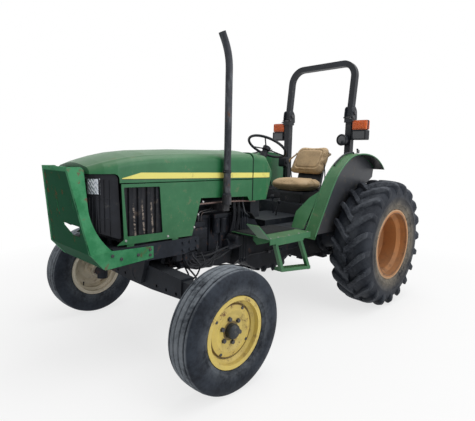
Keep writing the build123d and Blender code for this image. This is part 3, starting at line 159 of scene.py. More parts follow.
def swept(path, profile):
    """A profile carried along a path: point + side times u + up times v, closed at both ends."""
    path = np.asarray(path, float)
    profile = np.asarray(profile, float)
    side, up = path_frames(path)
    grid = carried(path, side, up, profile)
    ends = np.repeat(path[[0, -1], None], len(profile), 1)
    grid = np.concatenate([ends[:1], grid, ends[1:]])
    return grid.reshape(-1, 3), grid_faces(len(grid), len(profile), False, True)


def looped(line, spread, radius):
    """A round cord along a closed line, smoothed first. Side is ahead crossed with spread(line, ahead)."""
    line = (np.roll(line, 1, 0) + line * 2 + np.roll(line, -1, 0)) / 4
    ahead = unit(np.roll(line, -1, 0) - np.roll(line, 1, 0))
    side = unit(np.cross(ahead, spread(line, ahead)))
    grid = carried(line, side, np.cross(side, ahead), circle(radius, 8))
    return grid.reshape(-1, 3), grid_faces(*grid.shape[:2], True, True)


def rounded_path(corners, bend, steps=6):
    """Straight runs joined by bends: (1-t)^2 a + 2t(1-t) corner + t^2 b, a and b one bend away."""
    corners = np.asarray(corners, float)
    inner = corners[1:-1]
    before = corners[:-2] - inner
    after = corners[2:] - inner
    reach_a = np.linalg.norm(before, axis=1)[:, None]
    reach_b = np.linalg.norm(after, axis=1)[:, None]
    bend = np.minimum(bend, 0.45 * np.minimum(reach_a, reach_b))
    a = (inner + before / reach_a * bend)[:, None]
    b = (inner + after / reach_b * bend)[:, None]
    t = np.linspace(0, 1, steps)[None, :, None]
    turns = (1 - t) ** 2 * a + 2 * t * (1 - t) * inner[:, None] + t ** 2 * b
    return np.concatenate([corners[:1], turns.reshape(-1, corners.shape[1]), corners[-1:]])


def circle(radius, sides=12):
    """Points on a circle: radius cos t, radius sin t."""
    t = np.linspace(0, 2 * np.pi, sides, endpoint=False)
    return np.stack([radius * np.cos(t), radius * np.sin(t)], 1)


def pipe(corners, radius, bend=30.0, sides=12):
    """A round pipe through the corners, bent at each of them."""
    return swept(rounded_path(corners, bend), circle(radius, sides))


def rounded_outline(points, radius, steps=5):
    """A closed outline whose every corner is bent over the radius."""
    points = np.asarray(points, float)
    ring = np.concatenate([points[-1:], points, points[:1]])
    return rounded_path(ring, radius, steps)[1:-1]


def bar_section(half_u, half_v, radius=0.0, steps=2):
    """Section of a flat bar about its own path, its corners bent over a radius if one is given."""
    corners = [(-half_u, -half_v), (half_u, -half_v), (half_u, half_v), (-half_u, half_v)]
    return rounded_outline(corners, radius, steps) if radius else np.array(corners, float)


def inset(outline, amount):
    """An outline moved inwards: each point goes along the mean of its two edges' inward normals."""
    edge = np.roll(outline, -1, 0) - outline
    edge /= np.maximum(np.linalg.norm(edge, axis=1)[:, None], 1e-9)
    area = np.sum(outline[:, 0] * np.roll(outline[:, 1], -1) - np.roll(outline[:, 0], -1) * outline[:, 1])
    normal = np.stack([-edge[:, 1], edge[:, 0]], 1) * np.sign(area)
    both = normal + np.roll(normal, 1, 0)
    both /= np.maximum(np.sum(both * both, 1)[:, None] / 2, 0.35)
    return outline + both * amount


def prism(outline, low, high, edge=2.0, across=1):
    """An outline carried from low to high across it, its rims drawn in over a small edge.

    The outline lies in the two coordinates other than the one it is carried along.
    """
    outline = np.asarray(outline, float)
    edge = min(edge, abs(high - low) * 0.45)
    drawn_in = inset(outline, edge)
    levels = ((drawn_in, low), (outline, low + edge), (outline, high - edge), (drawn_in, high))
    grid = np.stack([np.insert(line, across, level, axis=1) for line, level in levels])
    return capped(grid)


def capped(grid):
    """A grid of rings joined into a wall, its first and last ring each closed by one face."""
    rings, count = grid.shape[:2]
    ends = np.array([np.arange(count), np.arange(count) + (rings - 1) * count])
    return grid.reshape(-1, 3), [grid_faces(rings, count, False, True), ends]


def slab(x0, x1, y0, y1, z0, z1, radius=6.0, edge=2.0, across=1):
    """A block with rounded corners seen along one direction and small edges on its two faces."""
    spans = [(x0, x1), (y0, y1), (z0, z1)]
    low, high = spans.pop(across)
    (a0, a1), (b0, b1) = spans
    outline = rounded_outline([(a0, b0), (a1, b0), (a1, b1), (a0, b1)], radius)
    return prism(outline, low, high, edge, across)


def hex_heads(places, height, across, axis=1, outward=1.0):
    """Hexagon heads on washers, all alike: a six-sided prism with a drawn-in top over a round disc."""
    rings = ((0.66, -1.0), (0.66, 0.14), (0.58, 0.2), (0.58, 0.85), (0.5, 1.0))
    reach, level = np.array(rings).T
    t = np.arange(6) * np.pi / 3
    grid = np.zeros((5, 6, 3))
    grid[..., (axis + 1) % 3] = np.outer(reach * across, np.cos(t))
    grid[..., (axis + 2) % 3] = np.outer(reach * across, np.sin(t))
    grid[..., axis] = (level * height * outward)[:, None]
    grid[0, :, axis] = -2.0 * outward
    return repeated(capped(grid), places)


def linked(name, data):
    """A new object of the scene for its data."""
    made = bpy.data.objects.new(name, data)
    bpy.context.scene.collection.objects.link(made)
    return made


def new_piece(name, points, faces, finish, body, doubles=0.0):
    """One smooth object from points in metres in the shared frame, riding on a body."""
    mesh = bpy.data.meshes.new(name)
    mesh.from_pydata(points.tolist(), [], faces)
    work = bmesh.new()
    work.from_mesh(mesh)
    if doubles:
        bmesh.ops.remove_doubles(work, verts=work.verts, dist=doubles)
    bmesh.ops.recalc_face_normals(work, faces=work.faces)
    work.to_mesh(mesh)
    work.free()
    mesh.shade_smooth()
    mesh.materials.append(material(finish))
    piece = linked(name, mesh)
    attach(piece, body)
    return piece


def build(name, parts, finish, sharp=35.0, body="chassis"):
    """One finished object from (points, faces) parts in millimetres."""
    points, faces, start = [], [], 0
    for part_points, part_faces in parts:
        points.append(part_points)
        for group in part_faces if isinstance(part_faces, list) else [part_faces]:
            faces += (group + start).tolist()
        start += len(part_points)
    piece = new_piece(name, to_frame(np.concatenate(points)), faces, finish, body, 2e-6)
    piece.data.set_sharp_from_angle(angle=math.radians(sharp))
    return piece


# ---- materials ------------------------------------------------------------------------------
def paint(red, green, blue):
    """A paint's colour from its 0 to 255 values as a screen shows them."""
    share = np.array([red, green, blue]) / 255
    return tuple(np.where(share <= 0.04045, share / 12.92, ((share + 0.055) / 1.055) ** 2.4).tolist())


class Wire:
    """A node's output that is worked with like a number: each step adds one node to its tree."""

    def __init__(self, socket):
        self.socket, self.tree = socket, socket.id_data

    def __add__(self, other):
        return maths("ADD", self, other)

    def __sub__(self, other):
        return maths("SUBTRACT", self, other)

    def __rsub__(self, other):
        return maths("SUBTRACT", other, self)

    def __mul__(self, other):
        return maths("MULTIPLY", self, other)

    def __truediv__(self, other):
        return maths("DIVIDE", self, other)

    def __abs__(self):
        return maths("ABSOLUTE", self)

    def clamped(self):
        """The same value held between 0 and 1."""
        self.socket.node.use_clamp = True
        return self

    def mapped(self, low, high, first=0.0, last=1.0, kind="LINEAR"):
        """From first to last while the value goes from low to high, and level outside."""
        return Wire(add(self.tree, "ShaderNodeMapRange", {
            "Value": self, "From Min": low, "From Max": high, "To Min": first, "To Max": last},
            interpolation_type=kind).outputs[0])

    def ramp(self, low, high):
        """A smooth step from 0 to 1 between two values."""
        return self.mapped(low, high, kind="SMOOTHSTEP")

    def band(self, low, high, soft):
        """1 between two values and 0 outside them, with soft edges."""
        return self.ramp(low - soft, low + soft) * (1.0 - self.ramp(high - soft, high + soft))


def connect(socket, value):
    """Give an input a wire, or a plain value of its own; a colour's alpha is 1."""
    if isinstance(value, Wire):
        socket.id_data.links.new(value.socket, socket)
    else:
        socket.default_value = (*value, 1.0) if socket.type == "RGBA" else value


def add(tree, kind, inputs=None, **settings):
    """A node of a kind, with its settings and the values or wires of its inputs."""
    node = tree.nodes.new(kind)
    for key, value in settings.items():
        setattr(node, key, value)
    for key, value in (inputs or {}).items():
        connect(node.inputs[key], value)
    return node


def maths(operation, *values):
    """A Math node on numbers and wires."""
    tree = next(value.tree for value in values if isinstance(value, Wire))
    return Wire(add(tree, "ShaderNodeMath", dict(enumerate(values)), operation=operation).outputs[0])


def vector_maths(operation, *values, output="Vector"):
    """A Vector Math node on wires and triples."""
    node = add(values[0].tree, "ShaderNodeVectorMath", dict(enumerate(values)), operation=operation)
    return Wire(node.outputs[output])


def blend(factor, first, second):
    """A colour mixed from two by a factor."""
    mix = add(factor.tree, "ShaderNodeMix", {0: factor, 6: first, 7: second}, data_type="RGBA")
    return Wire(mix.outputs[2])


def coordinates(tree, kind="Object"):
    """The object's own coordinates, or its normal."""
    return Wire(add(tree, "ShaderNodeTexCoord").outputs[kind])


def axes(tree, kind="Object"):
    """The X, Y and Z of the object's own coordinates, or of its normal."""
    parts = add(tree, "ShaderNodeSeparateXYZ", {"Vector": coordinates(tree, kind)}).outputs
    return [Wire(part) for part in parts]


def noise(tree, scale, detail=4.0, rough=0.55, stretch=None):
    """Noise on the object's own coordinates, stretched if asked."""
    place = coordinates(tree)
    if stretch:
        place = Wire(add(tree, "ShaderNodeMapping", {"Vector": place, "Scale": stretch}).outputs["Vector"])
    return Wire(add(tree, "ShaderNodeTexNoise", {
        "Vector": place, "Scale": scale, "Detail": detail, "Roughness": rough}).outputs["Fac"])


def new_group(name, inputs, outputs):
    """An empty group of nodes with inputs and outputs of given kinds, and its inputs as wires."""
    tree = bpy.data.node_groups.new(name, "ShaderNodeTree")
    for way, sockets in (("INPUT", inputs), ("OUTPUT", outputs)):
        for label, kind in sockets.items():
            tree.interface.new_socket(label, in_out=way, socket_type=f"NodeSocket{kind}")
    given = tree.nodes.new("NodeGroupInput").outputs
    return tree, {label: Wire(given[label]) for label in inputs}


def weathered_group():
    """Paint or rubber in use: it fades in patches, dust settles on top and low down, scuffs show through."""
    tree, given = new_group("weathered_surface", {
        "Base": "Color", "Faded": "Color", "Dust": "Color", "Scuff": "Color", "Fade": "Float",
        "Dusting": "Float", "Scuffing": "Float", "Plain Roughness": "Float"},
        {"Color": "Color", "Roughness": "Float", "Height": "Float"})
    patches = noise(tree, 3.1, 5.0, 0.6)
    blotches = noise(tree, 17.0, 6.0, 0.62)
    grain = noise(tree, 130.0, 3.0, 0.6)
    height, up = axes(tree)[2], axes(tree, "Normal")[2]
    fading = (blotches * 0.45 + patches).ramp(0.55, 0.95) * given["Fade"]
    resting = (1.0 - height.ramp(0.15, 1.15)) * 0.55 + up.ramp(-0.1, 1.0) * 0.6
    dusty = ((patches * 0.8 + blotches * 0.7) * (resting + 0.12) * given["Dusting"]).clamped()
    chips = (grain * 0.35 + blotches).ramp(0.74, 0.86)
    scuffed = (chips * patches.ramp(0.42, 0.6) * given["Scuffing"]).clamped()
    colour = blend(fading, given["Base"], given["Faded"])
    colour = blend(dusty, colour, given["Dust"])
    colour = blend(scuffed, colour, given["Scuff"])
    rough = scuffed * 0.25 + (dusty * 0.35 + given["Plain Roughness"])
    rough = ((blotches - 0.5) * 0.22 + rough).clamped()
    relief = grain * 0.5 + scuffed * -0.6
    add(tree, "NodeGroupOutput", {"Color": colour, "Roughness": rough, "Height": relief})


def axle_distance_group():
    """Distance from the wheel's own axle line, its middle given in metres."""
    tree, given = new_group("axle_distance", {"Middle": "Vector"}, {"Distance": "Float"})
    offset = vector_maths("SUBTRACT", coordinates(tree), given["Middle"])
    flat = vector_maths("MULTIPLY", offset, (1, 0, 1))
    add(tree, "NodeGroupOutput", {"Distance": vector_maths("LENGTH", flat, output="Value")})


def group_wires(tree, name, inputs):
    """The outputs of one of the shared groups, placed with its own inputs."""
    node = add(tree, "ShaderNodeGroup", inputs, node_tree=bpy.data.node_groups[name])
    return {output.name: Wire(output) for output in node.outputs}


def from_axle(tree, tyre):
    """Distance from a wheel's axle line."""
    return group_wires(tree, "axle_distance", {"Middle": tuple(to_frame(middle(tyre)))})["Distance"]


def new_material(name):
    """The nodes of a new finish, and its shader."""
    made = bpy.data.materials.new(f"{name}_finish")
    made.use_nodes = True
    return made.node_tree, made.node_tree.nodes["Principled BSDF"]


def material(name):
    """A finish by name."""
    return bpy.data.materials[f"{name}_finish"]


def dress(shader, colour, rough, height, strength, depth, levels):
    """Give a shader its colour, roughness and relief, and its plain levels by name."""
    bump = add(shader.id_data, "ShaderNodeBump", {"Height": height, "Strength": strength, "Distance": depth})
    given = {"Base Color": colour, "Roughness": rough, "Normal": Wire(bump.outputs["Normal"]), **levels}
    for key, value in given.items():
        connect(shader.inputs[key], value)


def worn_finish(name, base, faded, dust, scuff, fade=0.5, dusting=0.4, scuffing=0.3, rough=0.45, metal=0.0,
                relief=0.0006, coat=0.0, recolour=None, gloss=0.35):
    """A material in use. recolour(tree, colour) may paint part of its base over before it weathers."""
    tree, shader = new_material(name)
    if recolour:
        plain = [add(tree, "ShaderNodeRGB").outputs[0] for _ in range(2)]
        for socket, value in zip(plain, (base, faded)):
            socket.default_value = (*value, 1)
        base, faded = (recolour(tree, Wire(socket)) for socket in plain)
    look = group_wires(tree, "weathered_surface", {
        "Base": base, "Faded": faded, "Dust": dust, "Scuff": scuff, "Fade": fade,
        "Dusting": dusting, "Scuffing": scuffing, "Plain Roughness": rough})
    levels = {"Metallic": metal, "Specular IOR Level": gloss}
    if coat:
        levels |= {"Coat Weight": coat, "Coat Roughness": 0.25}
    dress(shader, look["Color"], look["Roughness"], look["Height"], 0.5, relief, levels)


def body_stripe(tree, colour):
    """A long yellow stripe low on the hood's side, tapering towards the nose, with a dark line under it."""
    look = bpy.context.scene.tractor_look
    low, high = extent("hood")
    tip = AXLE_X + (high[0] - 186) * MM
    tail = AXLE_X + (extent("cowl")[0][0] + 36) * MM
    x, y, z = axes(tree)
    above = z - x.mapped(tail, tip, (low[2] + 6) * MM, (low[2] + 26) * MM)
    width = x.mapped(tip - 0.13, tip, look.stripe_width, 0.004)
    outward = axes(tree, "Normal")[1] * maths("SIGN", y)
    reach = x.band(tail, tip, 0.001) * (abs(y).ramp(0.18, 0.2) * outward.ramp(0.3, 0.4))
    inside = above.ramp(-0.0008, 0.0008) * (width - above).ramp(-0.0008, 0.0008)
    colour = blend(above.band(-0.006, -0.0012, 0.0006) * reach, colour, (0.012, 0.03, 0.018))
    return blend(inside * reach, colour, look.stripe_colour)


# rings of a wheel's paint: from and to which distance from its axle, in metres, and the colour
FRONT_BANDS = ((0.158, 0.168, (0.13, 0.085, 0.025)), (0.0, 0.060, (0.20, 0.14, 0.045)))
REAR_BANDS = ((0.0, 0.135, (0.16, 0.09, 0.05)), (0.300, 0.307, (0.10, 0.05, 0.025)),
              (0.322, 0.4, (0.50, 0.31, 0.18)))
# in metres: the disc's outer face, out from the middle of the tyre, and the radius of the tread's root
FRONT_DISC, REAR_DISC = 0.030, -0.127
FRONT_ROOT, REAR_ROOT = 0.376, 0.570
# the guard's front plate in metres: height of its foot and its top, and half its width at each
GUARD_PLATE = (0.812, 1.333, 0.306, 0.191)
# the vanes of a side screen in metres: where the first one starts, their pitch and their lean per metre
VANE_START, VANE_PITCH, VANE_LEAN = 2.222, 0.0665, 0.0696


def ring_paint(tyre, side, bands, disc, inner):
    """A recolouring of a wheel: rings by distance from its axle, and one colour inboard of its disc, which is
    painted shade on the rear wheels and dust made paler as a painted highlight on the front ones.
    """
    def recolour(tree, colour):
        distance = from_axle(tree, tyre)
        for low, high, shade in bands:
            colour = blend(distance.band(low, high, 0.0015), colour, shade)
        out = (axes(tree)[1] - float(to_frame(middle(tyre))[1])) * side
        back = (axes(tree, "Normal")[1] * side).ramp(-0.2, -0.5)
        # inboard colour: painted shade on the rear wheels, pale dust with a painted highlight on the front
        # ones
        return blend(maths("MAXIMUM", out.ramp(disc, disc - 0.004), back), colour, inner)

    return recolour


def tyre_finish(tyre, root, tread_dust, bead_dust, dust):
    """Rubber: near black, paler on the tread above its root, dusty on the tread and by the bead."""
    tree, shader = new_material(tyre)
    distance = from_axle(tree, tyre)
    streaks = noise(tree, 42.0, 4.0, 0.6)
    mottled = streaks * 0.5 + noise(tree, 6.0, 5.0, 0.62)
    tread = distance.ramp(root - 0.006, root + 0.004)
    bead = 1.0 - distance.ramp(root * 0.60, root * 0.84)
    colour = blend(mottled.ramp(0.5, 1.0), paint(13, 19, 29), paint(34, 42, 54))
    colour = blend((tread * mottled.ramp(0.5, 1.0)).clamped(), colour, paint(60, 69, 82))
    settled = (mottled.ramp(0.45, 0.95) * (tread * tread_dust + (bead * bead_dust + 0.05))).clamped()
    relief = noise(tree, 260.0, 2.0, 0.5) * 0.4 + streaks
    dress(shader, blend(settled, colour, dust), settled * 0.35 + 0.6, relief, 0.45, 0.0012,
          {"Specular IOR Level": 0.2})


def guard_wear_and_light(tree, colour):
    """The guard's cheeks are faded and rubbed; its front plate is darker, partly a painted shade, with a pale
    border that is a painted highlight of its rim.
    """
    faded = np.array(bpy.context.scene.tractor_look.faded_green)
    _, y, z = axes(tree)
    cheek = abs(axes(tree, "Normal")[1]).ramp(0.25, 0.6)
    worn = noise(tree, 9.0, 6.0, 0.65)
    pale = 1.4 * faded + 0.04
    colour = blend(cheek, colour, 1.1 * faded + 0.012)
    colour = blend(cheek * worn.ramp(0.35, 0.6), colour, pale)
    # darker front plate: partly darker paint, partly painted shade
    colour = blend((0.8 - cheek).clamped(), colour, paint(10, 72, 48))
    # pale border of the front plate: a painted highlight standing in for its rim
    inner = maths("MINIMUM", z.mapped(*GUARD_PLATE) - abs(y), GUARD_PLATE[1] - z)
    painted_rim_highlight = (1.0 - inner.ramp(0.022, 0.030) - cheek).clamped()
    colour = blend(painted_rim_highlight * worn.ramp(0.3, 0.5), colour, pale)
    return blend(cheek * worn.ramp(0.60, 0.66), colour, paint(112, 98, 80))


def louvre_wear(tree, colour):
    """Pale worn streaks down the joints of the vanes, broken up and strongest low down."""
    foot = extent("louvre_panels")[0][2]
    x, _, z = axes(tree)
    vane = (x - (z - foot * MM) * VANE_LEAN - (AXLE_X + VANE_START)) / VANE_PITCH
    joint = abs(maths("FRACT", vane + 0.5) - 0.5)
    streak = noise(tree, 1.0, 5.0, 0.7, (30.0, 30.0, 64.0))
    line = 1.0 - (joint - (streak * 0.22 - 0.03)).ramp(-0.03, 0.03)
    low_down = 1.0 - z.ramp((foot + 170) * MM, (foot + 260) * MM)
    share = streak.ramp(0.46, 0.56) * vane.band(0.6, 3.4, 0.1) * low_down
    return blend(line * share, colour, paint(150, 138, 128))


def stack_scale_and_highlight(tree, colour):
    """Brown scale low on the exhaust and paler streaks, a painted highlight, over the metal's colour."""
    patch = noise(tree, 14.0, 5.0, 0.65, (1.0, 1.0, 0.35))
    scale = (1.0 - axes(tree)[2].ramp(1.1, 1.3)) * patch.ramp(0.3, 0.6)
    # the pale streaks are a painted highlight along the stack
    return blend(patch.ramp(0.5, 0.66) * 0.6, blend(scale, colour, paint(34, 32, 34)), paint(112, 116, 122))


def lens_facet_reflections(tree, colour):
    """Dark and pale zigzag facets of a reflector, a painted reflection, over the lens's colour."""
    x, y, z = axes(tree)
    bend = abs(maths("FRACT", (abs(y) - x) * 26.0) - 0.5)
    # painted reflection: bands of darker facets over the pale lens
    return blend(maths("FRACT", z * 34.0 + bend * 1.5).band(0.15, 0.5, 0.12), colour, paint(134, 142, 152))


def fender_shade_and_dirt(tree, colour):
    """Black under the fender's arch, a painted shade, and charcoal on its wall beside the tyre, partly dirt
    and partly painted shade, over the paint's colour.
    """
    x, y, z = axes(tree)
    normal = axes(tree, "Normal")
    centre = to_frame(middle("rear_left_tyre"))
    facing = (x - float(centre[0])) * normal[0] + (z - float(centre[2])) * normal[2]
    wall = (maths("SIGN", y) * normal[1]).ramp(0.4, 0.6) * (1.0 - abs(y).ramp(0.545, 0.55))
    # painted shade: black where the surface faces the axle under the arch; charcoal on the wall, partly dirt
    return blend(facing.ramp(-0.02, -0.12), blend(wall, colour, paint(52, 56, 64)), paint(24, 27, 33))


def vinyl_finish(name, base, grain):
    """Tan vinyl: fine leather grain, slow soiling, darker in its creases and paler where it faces up."""
    tree, shader = new_material(name)
    soil, spots = noise(tree, 7.0, 5.0, 0.6), noise(tree, 46.0, 4.0, 0.6)
    cells = add(tree, "ShaderNodeTexVoronoi", {"Vector": coordinates(tree), "Scale": 420.0},
                feature="DISTANCE_TO_EDGE")
    pores = Wire(cells.outputs["Distance"]).ramp(0.0, 0.16)
    shade = (spots * 0.4 + soil).ramp(0.5, 0.9)
    dark, pale = 0.62 * base, np.minimum(1.0, 1.35 * base + 0.04)
    colour = blend(shade, base, dark)
    colour = blend(axes(tree, "Normal")[2].ramp(0.3, 0.9) * 0.7, colour, pale)
    colour = blend((1.0 - pores) * 0.25, colour, dark)
    dress(shader, colour, shade * 0.18 + 0.46, pores * grain + spots, 0.35, 0.0008, {"Sheen Weight": 0.08})


SOOT, RUST, GREY = (66, 66, 64), (104, 70, 50), (120, 116, 108)
# each plain finish: its fresh, faded, dust and scuff colours, then how much it fades, gathers dust and
# scuffs, how rough it is, and what else it takes
PLAIN_FINISHES = (
    ("black_paint", ((20, 23, 30), (38, 43, 52), (74, 80, 82), GREY), (0.6, 0.3, 0.4, 0.42),
     {"coat": 0.06, "gloss": 0.3}),
    ("cast_black", ((22, 27, 36), (46, 53, 64), SOOT, RUST), (0.7, 0.4, 0.4, 0.62),
     {"relief": 0.0016, "gloss": 0.2}),
    ("engine_dirty", ((12, 15, 22), (38, 43, 54), SOOT, RUST), (0.9, 0.34, 0.5, 0.55),
     {"relief": 0.002, "gloss": 0.18}),
    ("black_plastic", ((20, 22, 29), (42, 46, 55), SOOT, GREY), (0.6, 0.3, 0.25, 0.5),
     {"relief": 0.0003, "gloss": 0.25}),
    ("rubber_mat", ((22, 24, 28), (38, 41, 46), SOOT, GREY), (0.5, 0.4, 0.1, 0.75),
     {"relief": 0.001, "gloss": 0.2}),
    # exhaust: its pale streaks are a painted highlight
    ("exhaust_steel", ((40, 43, 50), (72, 75, 82), (104, 96, 86), RUST), (0.9, 0.25, 0.8, 0.6),
     {"relief": 0.001, "recolour": stack_scale_and_highlight, "gloss": 0.25}),
    ("amber_lens", ((222, 100, 26), (170, 72, 30), SOOT, "dust"), (0.6, 0.12, 0.0, 0.2),
     {"coat": 0.4, "relief": 0.0002}),
    # headlight glass: its zigzag facet bands are a painted reflection
    ("lamp_glass", ((192, 198, 204), (96, 104, 114), GREY, "dust"), (0.6, 0.2, 0.0, 0.12),
     {"metal": 0.5, "coat": 0.5, "relief": 0.0004, "recolour": lens_facet_reflections}),
    ("dark_glass", ((48, 52, 60), (82, 86, 94), "dust", "dust"), (0.5, 0.15, 0.0, 0.08),
     {"coat": 0.8, "relief": 0.0002}),
    ("louvre_black", ((20, 22, 28), (46, 48, 54), SOOT, (150, 130, 112)), (0.7, 0.3, 0.3, 0.5),
     {"recolour": louvre_wear, "gloss": 0.22}),
    ("faded_hose", ((124, 100, 98), (150, 128, 124), "dust", RUST), (0.7, 0.4, 0.3, 0.6), {}),
    ("gauge_face", ((34, 34, 37), (48, 48, 50), "dust", GREY), (0.3, 0.1, 0.0, 0.35), {"relief": 0.0001}),
    ("gauge_mark", ((214, 214, 210), (196, 196, 190), "dust", GREY), (0.3, 0.1, 0.0, 0.5),
     {"relief": 0.0001}),
)


def make_materials():
    """Every finish of the tractor, by the name its pieces ask for."""
    look = bpy.context.scene.tractor_look
    weathered_group()
    axle_distance_group()
    dust, green, faded_green = look.dust, look.green, look.faded_green
    rust, primer = paint(*RUST), paint(120, 108, 84)
    worn_finish("green_paint", green, faded_green, dust, primer, 0.6, 0.26, 0.4, 0.38, coat=0.1,
                recolour=body_stripe)
    # guard: scuffed paint whose darker base is partly painted shade, with a painted highlight on its plate's
    # rim
    worn_finish("guard_green_wear_and_light", 0.45 * np.array(green), green, dust, rust, 0.8, 0.05, 1.0, 0.6,
                recolour=guard_wear_and_light, gloss=0.03)
    # fenders: green paint with painted shade under the arch and on the wall beside the tyre
    worn_finish("fender_paint", green, faded_green, dust, primer, 0.6, 0.3, 0.5, 0.4, coat=0.08,
                recolour=fender_shade_and_dirt)
    for name, colours, levels, more in PLAIN_FINISHES:
        base, faded, settled, scuff = (dust if colour == "dust" else paint(*colour) for colour in colours)
        worn_finish(name, base, faded, settled, scuff, *levels, **more)
    worn_finish("bare_steel", (0.42, 0.42, 0.43), (0.30, 0.29, 0.28), dust, rust, 0.5, 0.3, 0.5, 0.34,
                metal=0.9, relief=0.0003)
    worn_finish("dark_steel", (0.08, 0.08, 0.09), (0.13, 0.127, 0.125), paint(*SOOT), rust, 0.5, 0.35, 0.6,
                0.42, metal=0.8, relief=0.0004)
    vinyl_finish("tan_vinyl", np.array(look.seat), 1.0)
    vinyl_finish("vinyl_seam", 0.8 * np.array(look.seat), 0.4)
    for name, side in SIDES:
        tyre = f"front_{name}_tyre"
        # front rim: its pale inboard colour is dust made paler as a painted highlight
        worn_finish(f"front_{name}_rim", look.front_rim, paint(214, 190, 112), paint(136, 116, 80), rust, 0.8,
                    0.45, 1.0, 0.42, coat=0.08,
                    recolour=ring_paint(tyre, side, FRONT_BANDS, FRONT_DISC, paint(222, 214, 196)))
        tyre_finish(tyre, FRONT_ROOT, 0.8, 0.25, paint(140, 146, 152))
        tyre = f"rear_{name}_tyre"
        # rear rim: its dark inboard colour is a painted shade
        worn_finish(f"rear_{name}_rim", look.rear_rim, paint(160, 110, 70), paint(122, 100, 78),
                    paint(84, 56, 40), 1.0, 0.6, 1.0, 0.55, gloss=0.3,
                    recolour=ring_paint(tyre, side, REAR_BANDS, REAR_DISC, paint(70, 60, 50)))
        tyre_finish(tyre, REAR_ROOT, 0.10, 0.75, paint(134, 126, 112))


def paint_frame():
    """Give every CAD node its finish: the one of its slot, or one of its own."""
    slots = {part["node"]: part["material_slot"] for part in frame["record"]["subparts"]}
    own = {"front_guard": "guard_green_wear_and_light", "engine": "engine_dirty", "transmission": "engine_dirty",
           "louvre_panels": "louvre_black", "steering_cylinder": "dark_steel", "radiator": "engine_dirty",
           "amber_lamps": "amber_lens", "headlights": "lamp_glass"}
    for name, _ in SIDES:
        own[f"{name}_fender"] = "fender_paint"
        for wheel in (f"{kind}_{name}_{part}" for kind in ("front", "rear") for part in ("rim", "tyre")):
            own[wheel] = wheel
    for name, node in frame["nodes"].items():
        for place in node.material_slots:
            place.material = material(own.get(name, slots[name]))


class TRACTOR_OT_finishes(Operator):
    """Make every finish and give each CAD node its own."""

    bl_idname = "tractor.finishes"
    bl_label = "Finishes"

    def execute(self, context):
        make_materials()
        paint_frame()
        return {"FINISHED"}


# ---- wheels ---------------------------------------------------------------------------------
def body_of(node):
    """The body that carries a CAD node."""
    bodies = frame["record"]["behaviour"]["bodies"]
    return next(body for body, members in bodies.items() if node in members)


def hollow_section(outer, air):
    """Closed section of a tyre from its left half: outside from the crown to the bead, then the air side."""
    outer, air = np.array(outer, float), np.array(air, float)
    flip = np.array([1, -1])
    return np.concatenate([outer, air, air[-2::-1] * flip, outer[:0:-1] * flip])


REAR_WALL = (
    (572, 0), (570, 60), (563, 118), (551, 148), (534, 163), (510, 174), (480, 182), (455, 185.5),
    (452, 187.5), (444, 187.5), (441, 185.5), (420, 184), (392, 181), (389, 182.5), (381, 182), (378, 178.5),
    (352, 170), (342, 167.5), (337.3, 153.4), (308.3, 153.4),
)
REAR_AIR = ((308.3, 131.7), (344, 131.7), (402, 158), (464, 164), (515, 150), (545, 108), (552, 0))
# bars of the rear tread: across the tyre and radius of the bar's top, then of its root
BAR_LINE = np.array((
    (-13, 608, -10, 566), (20, 608, 20, 566), (60, 606.5, 60, 564), (98, 604, 98, 560),
    (130, 600, 128, 552), (156, 592, 148, 540), (173, 578, 160, 524), (183, 560, 168, 508),
    (188, 536, 174, 490), (186.5, 512, 181, 478),
), float)
FRONT_WALL = (
    (383, 0), (383, 15), (374, 18), (374, 25.5), (382.3, 28.5), (380.5, 55), (371.5, 58), (370.5, 65.5),
    (377.5, 68.5), (375, 78), (368, 86), (352, 92), (332, 96.2), (316, 97.6), (312, 98), (306, 98),
    (303, 97.4), (280, 96.6), (258, 93), (255, 94), (249, 93), (247, 90), (236, 85.5), (228, 82.5),
    (223, 67.4), (203.3, 67.4),
)
FRONT_AIR = ((203.3, 45.7), (230, 45.7), (262, 71), (296, 75), (330, 71), (352, 58), (358, 0))


def tread_bars(sizes, half):
    """Bars of one half of the rear tread, round the axle.

    A bar follows its line outwards from the middle. Round the tyre it trails by the sweep times
    (1 - (1 - t)^1.4), t going from 0 at the middle to 1 at the shoulder. Its section there is six
    points: root, bevel, top, top, bevel, root.
    """
    count, line = sizes.bars, BAR_LINE
    t = np.clip(line[:, 0] / line[-2, 0], 0, 1)
    trail = sizes.bar_sweep / MM * (1 - (1 - t) ** 1.4)
    top, root = sizes.bar_top / MM / 2, sizes.bar_root / MM / 2
    shift = np.array([-root, -top - 3, -top + 3, top - 3, top + 3, root])
    share = np.array([0.0, 0.86, 1.0, 1.0, 0.86, 0.0])
    radius = line[:, 3:4] + (line[:, 1:2] - line[:, 3:4]) * share
    across = line[:, 2:3] + (line[:, 0:1] - line[:, 2:3]) * share
    start = (np.arange(count) + (0.5 if half < 0 else 0.0)) * 2 * np.pi / count
    angle = start[:, None, None] + (trail[:, None] + shift)[None] / line[0, 1]
    grid = np.stack([radius * np.cos(angle), np.broadcast_to(across * half, angle.shape),
                     radius * np.sin(angle)], -1)
    rows, sides = len(line), len(shift)
    ends = np.array([np.arange(sides), np.arange(sides) + (rows - 1) * sides])
    steps = np.arange(count)[:, None, None] * rows * sides
    quads = (grid_faces(rows, sides, False, True)[None] + steps).reshape(-1, 4)
    return grid.reshape(-1, 3), [quads, (ends[None] + steps).reshape(-1, sides)]


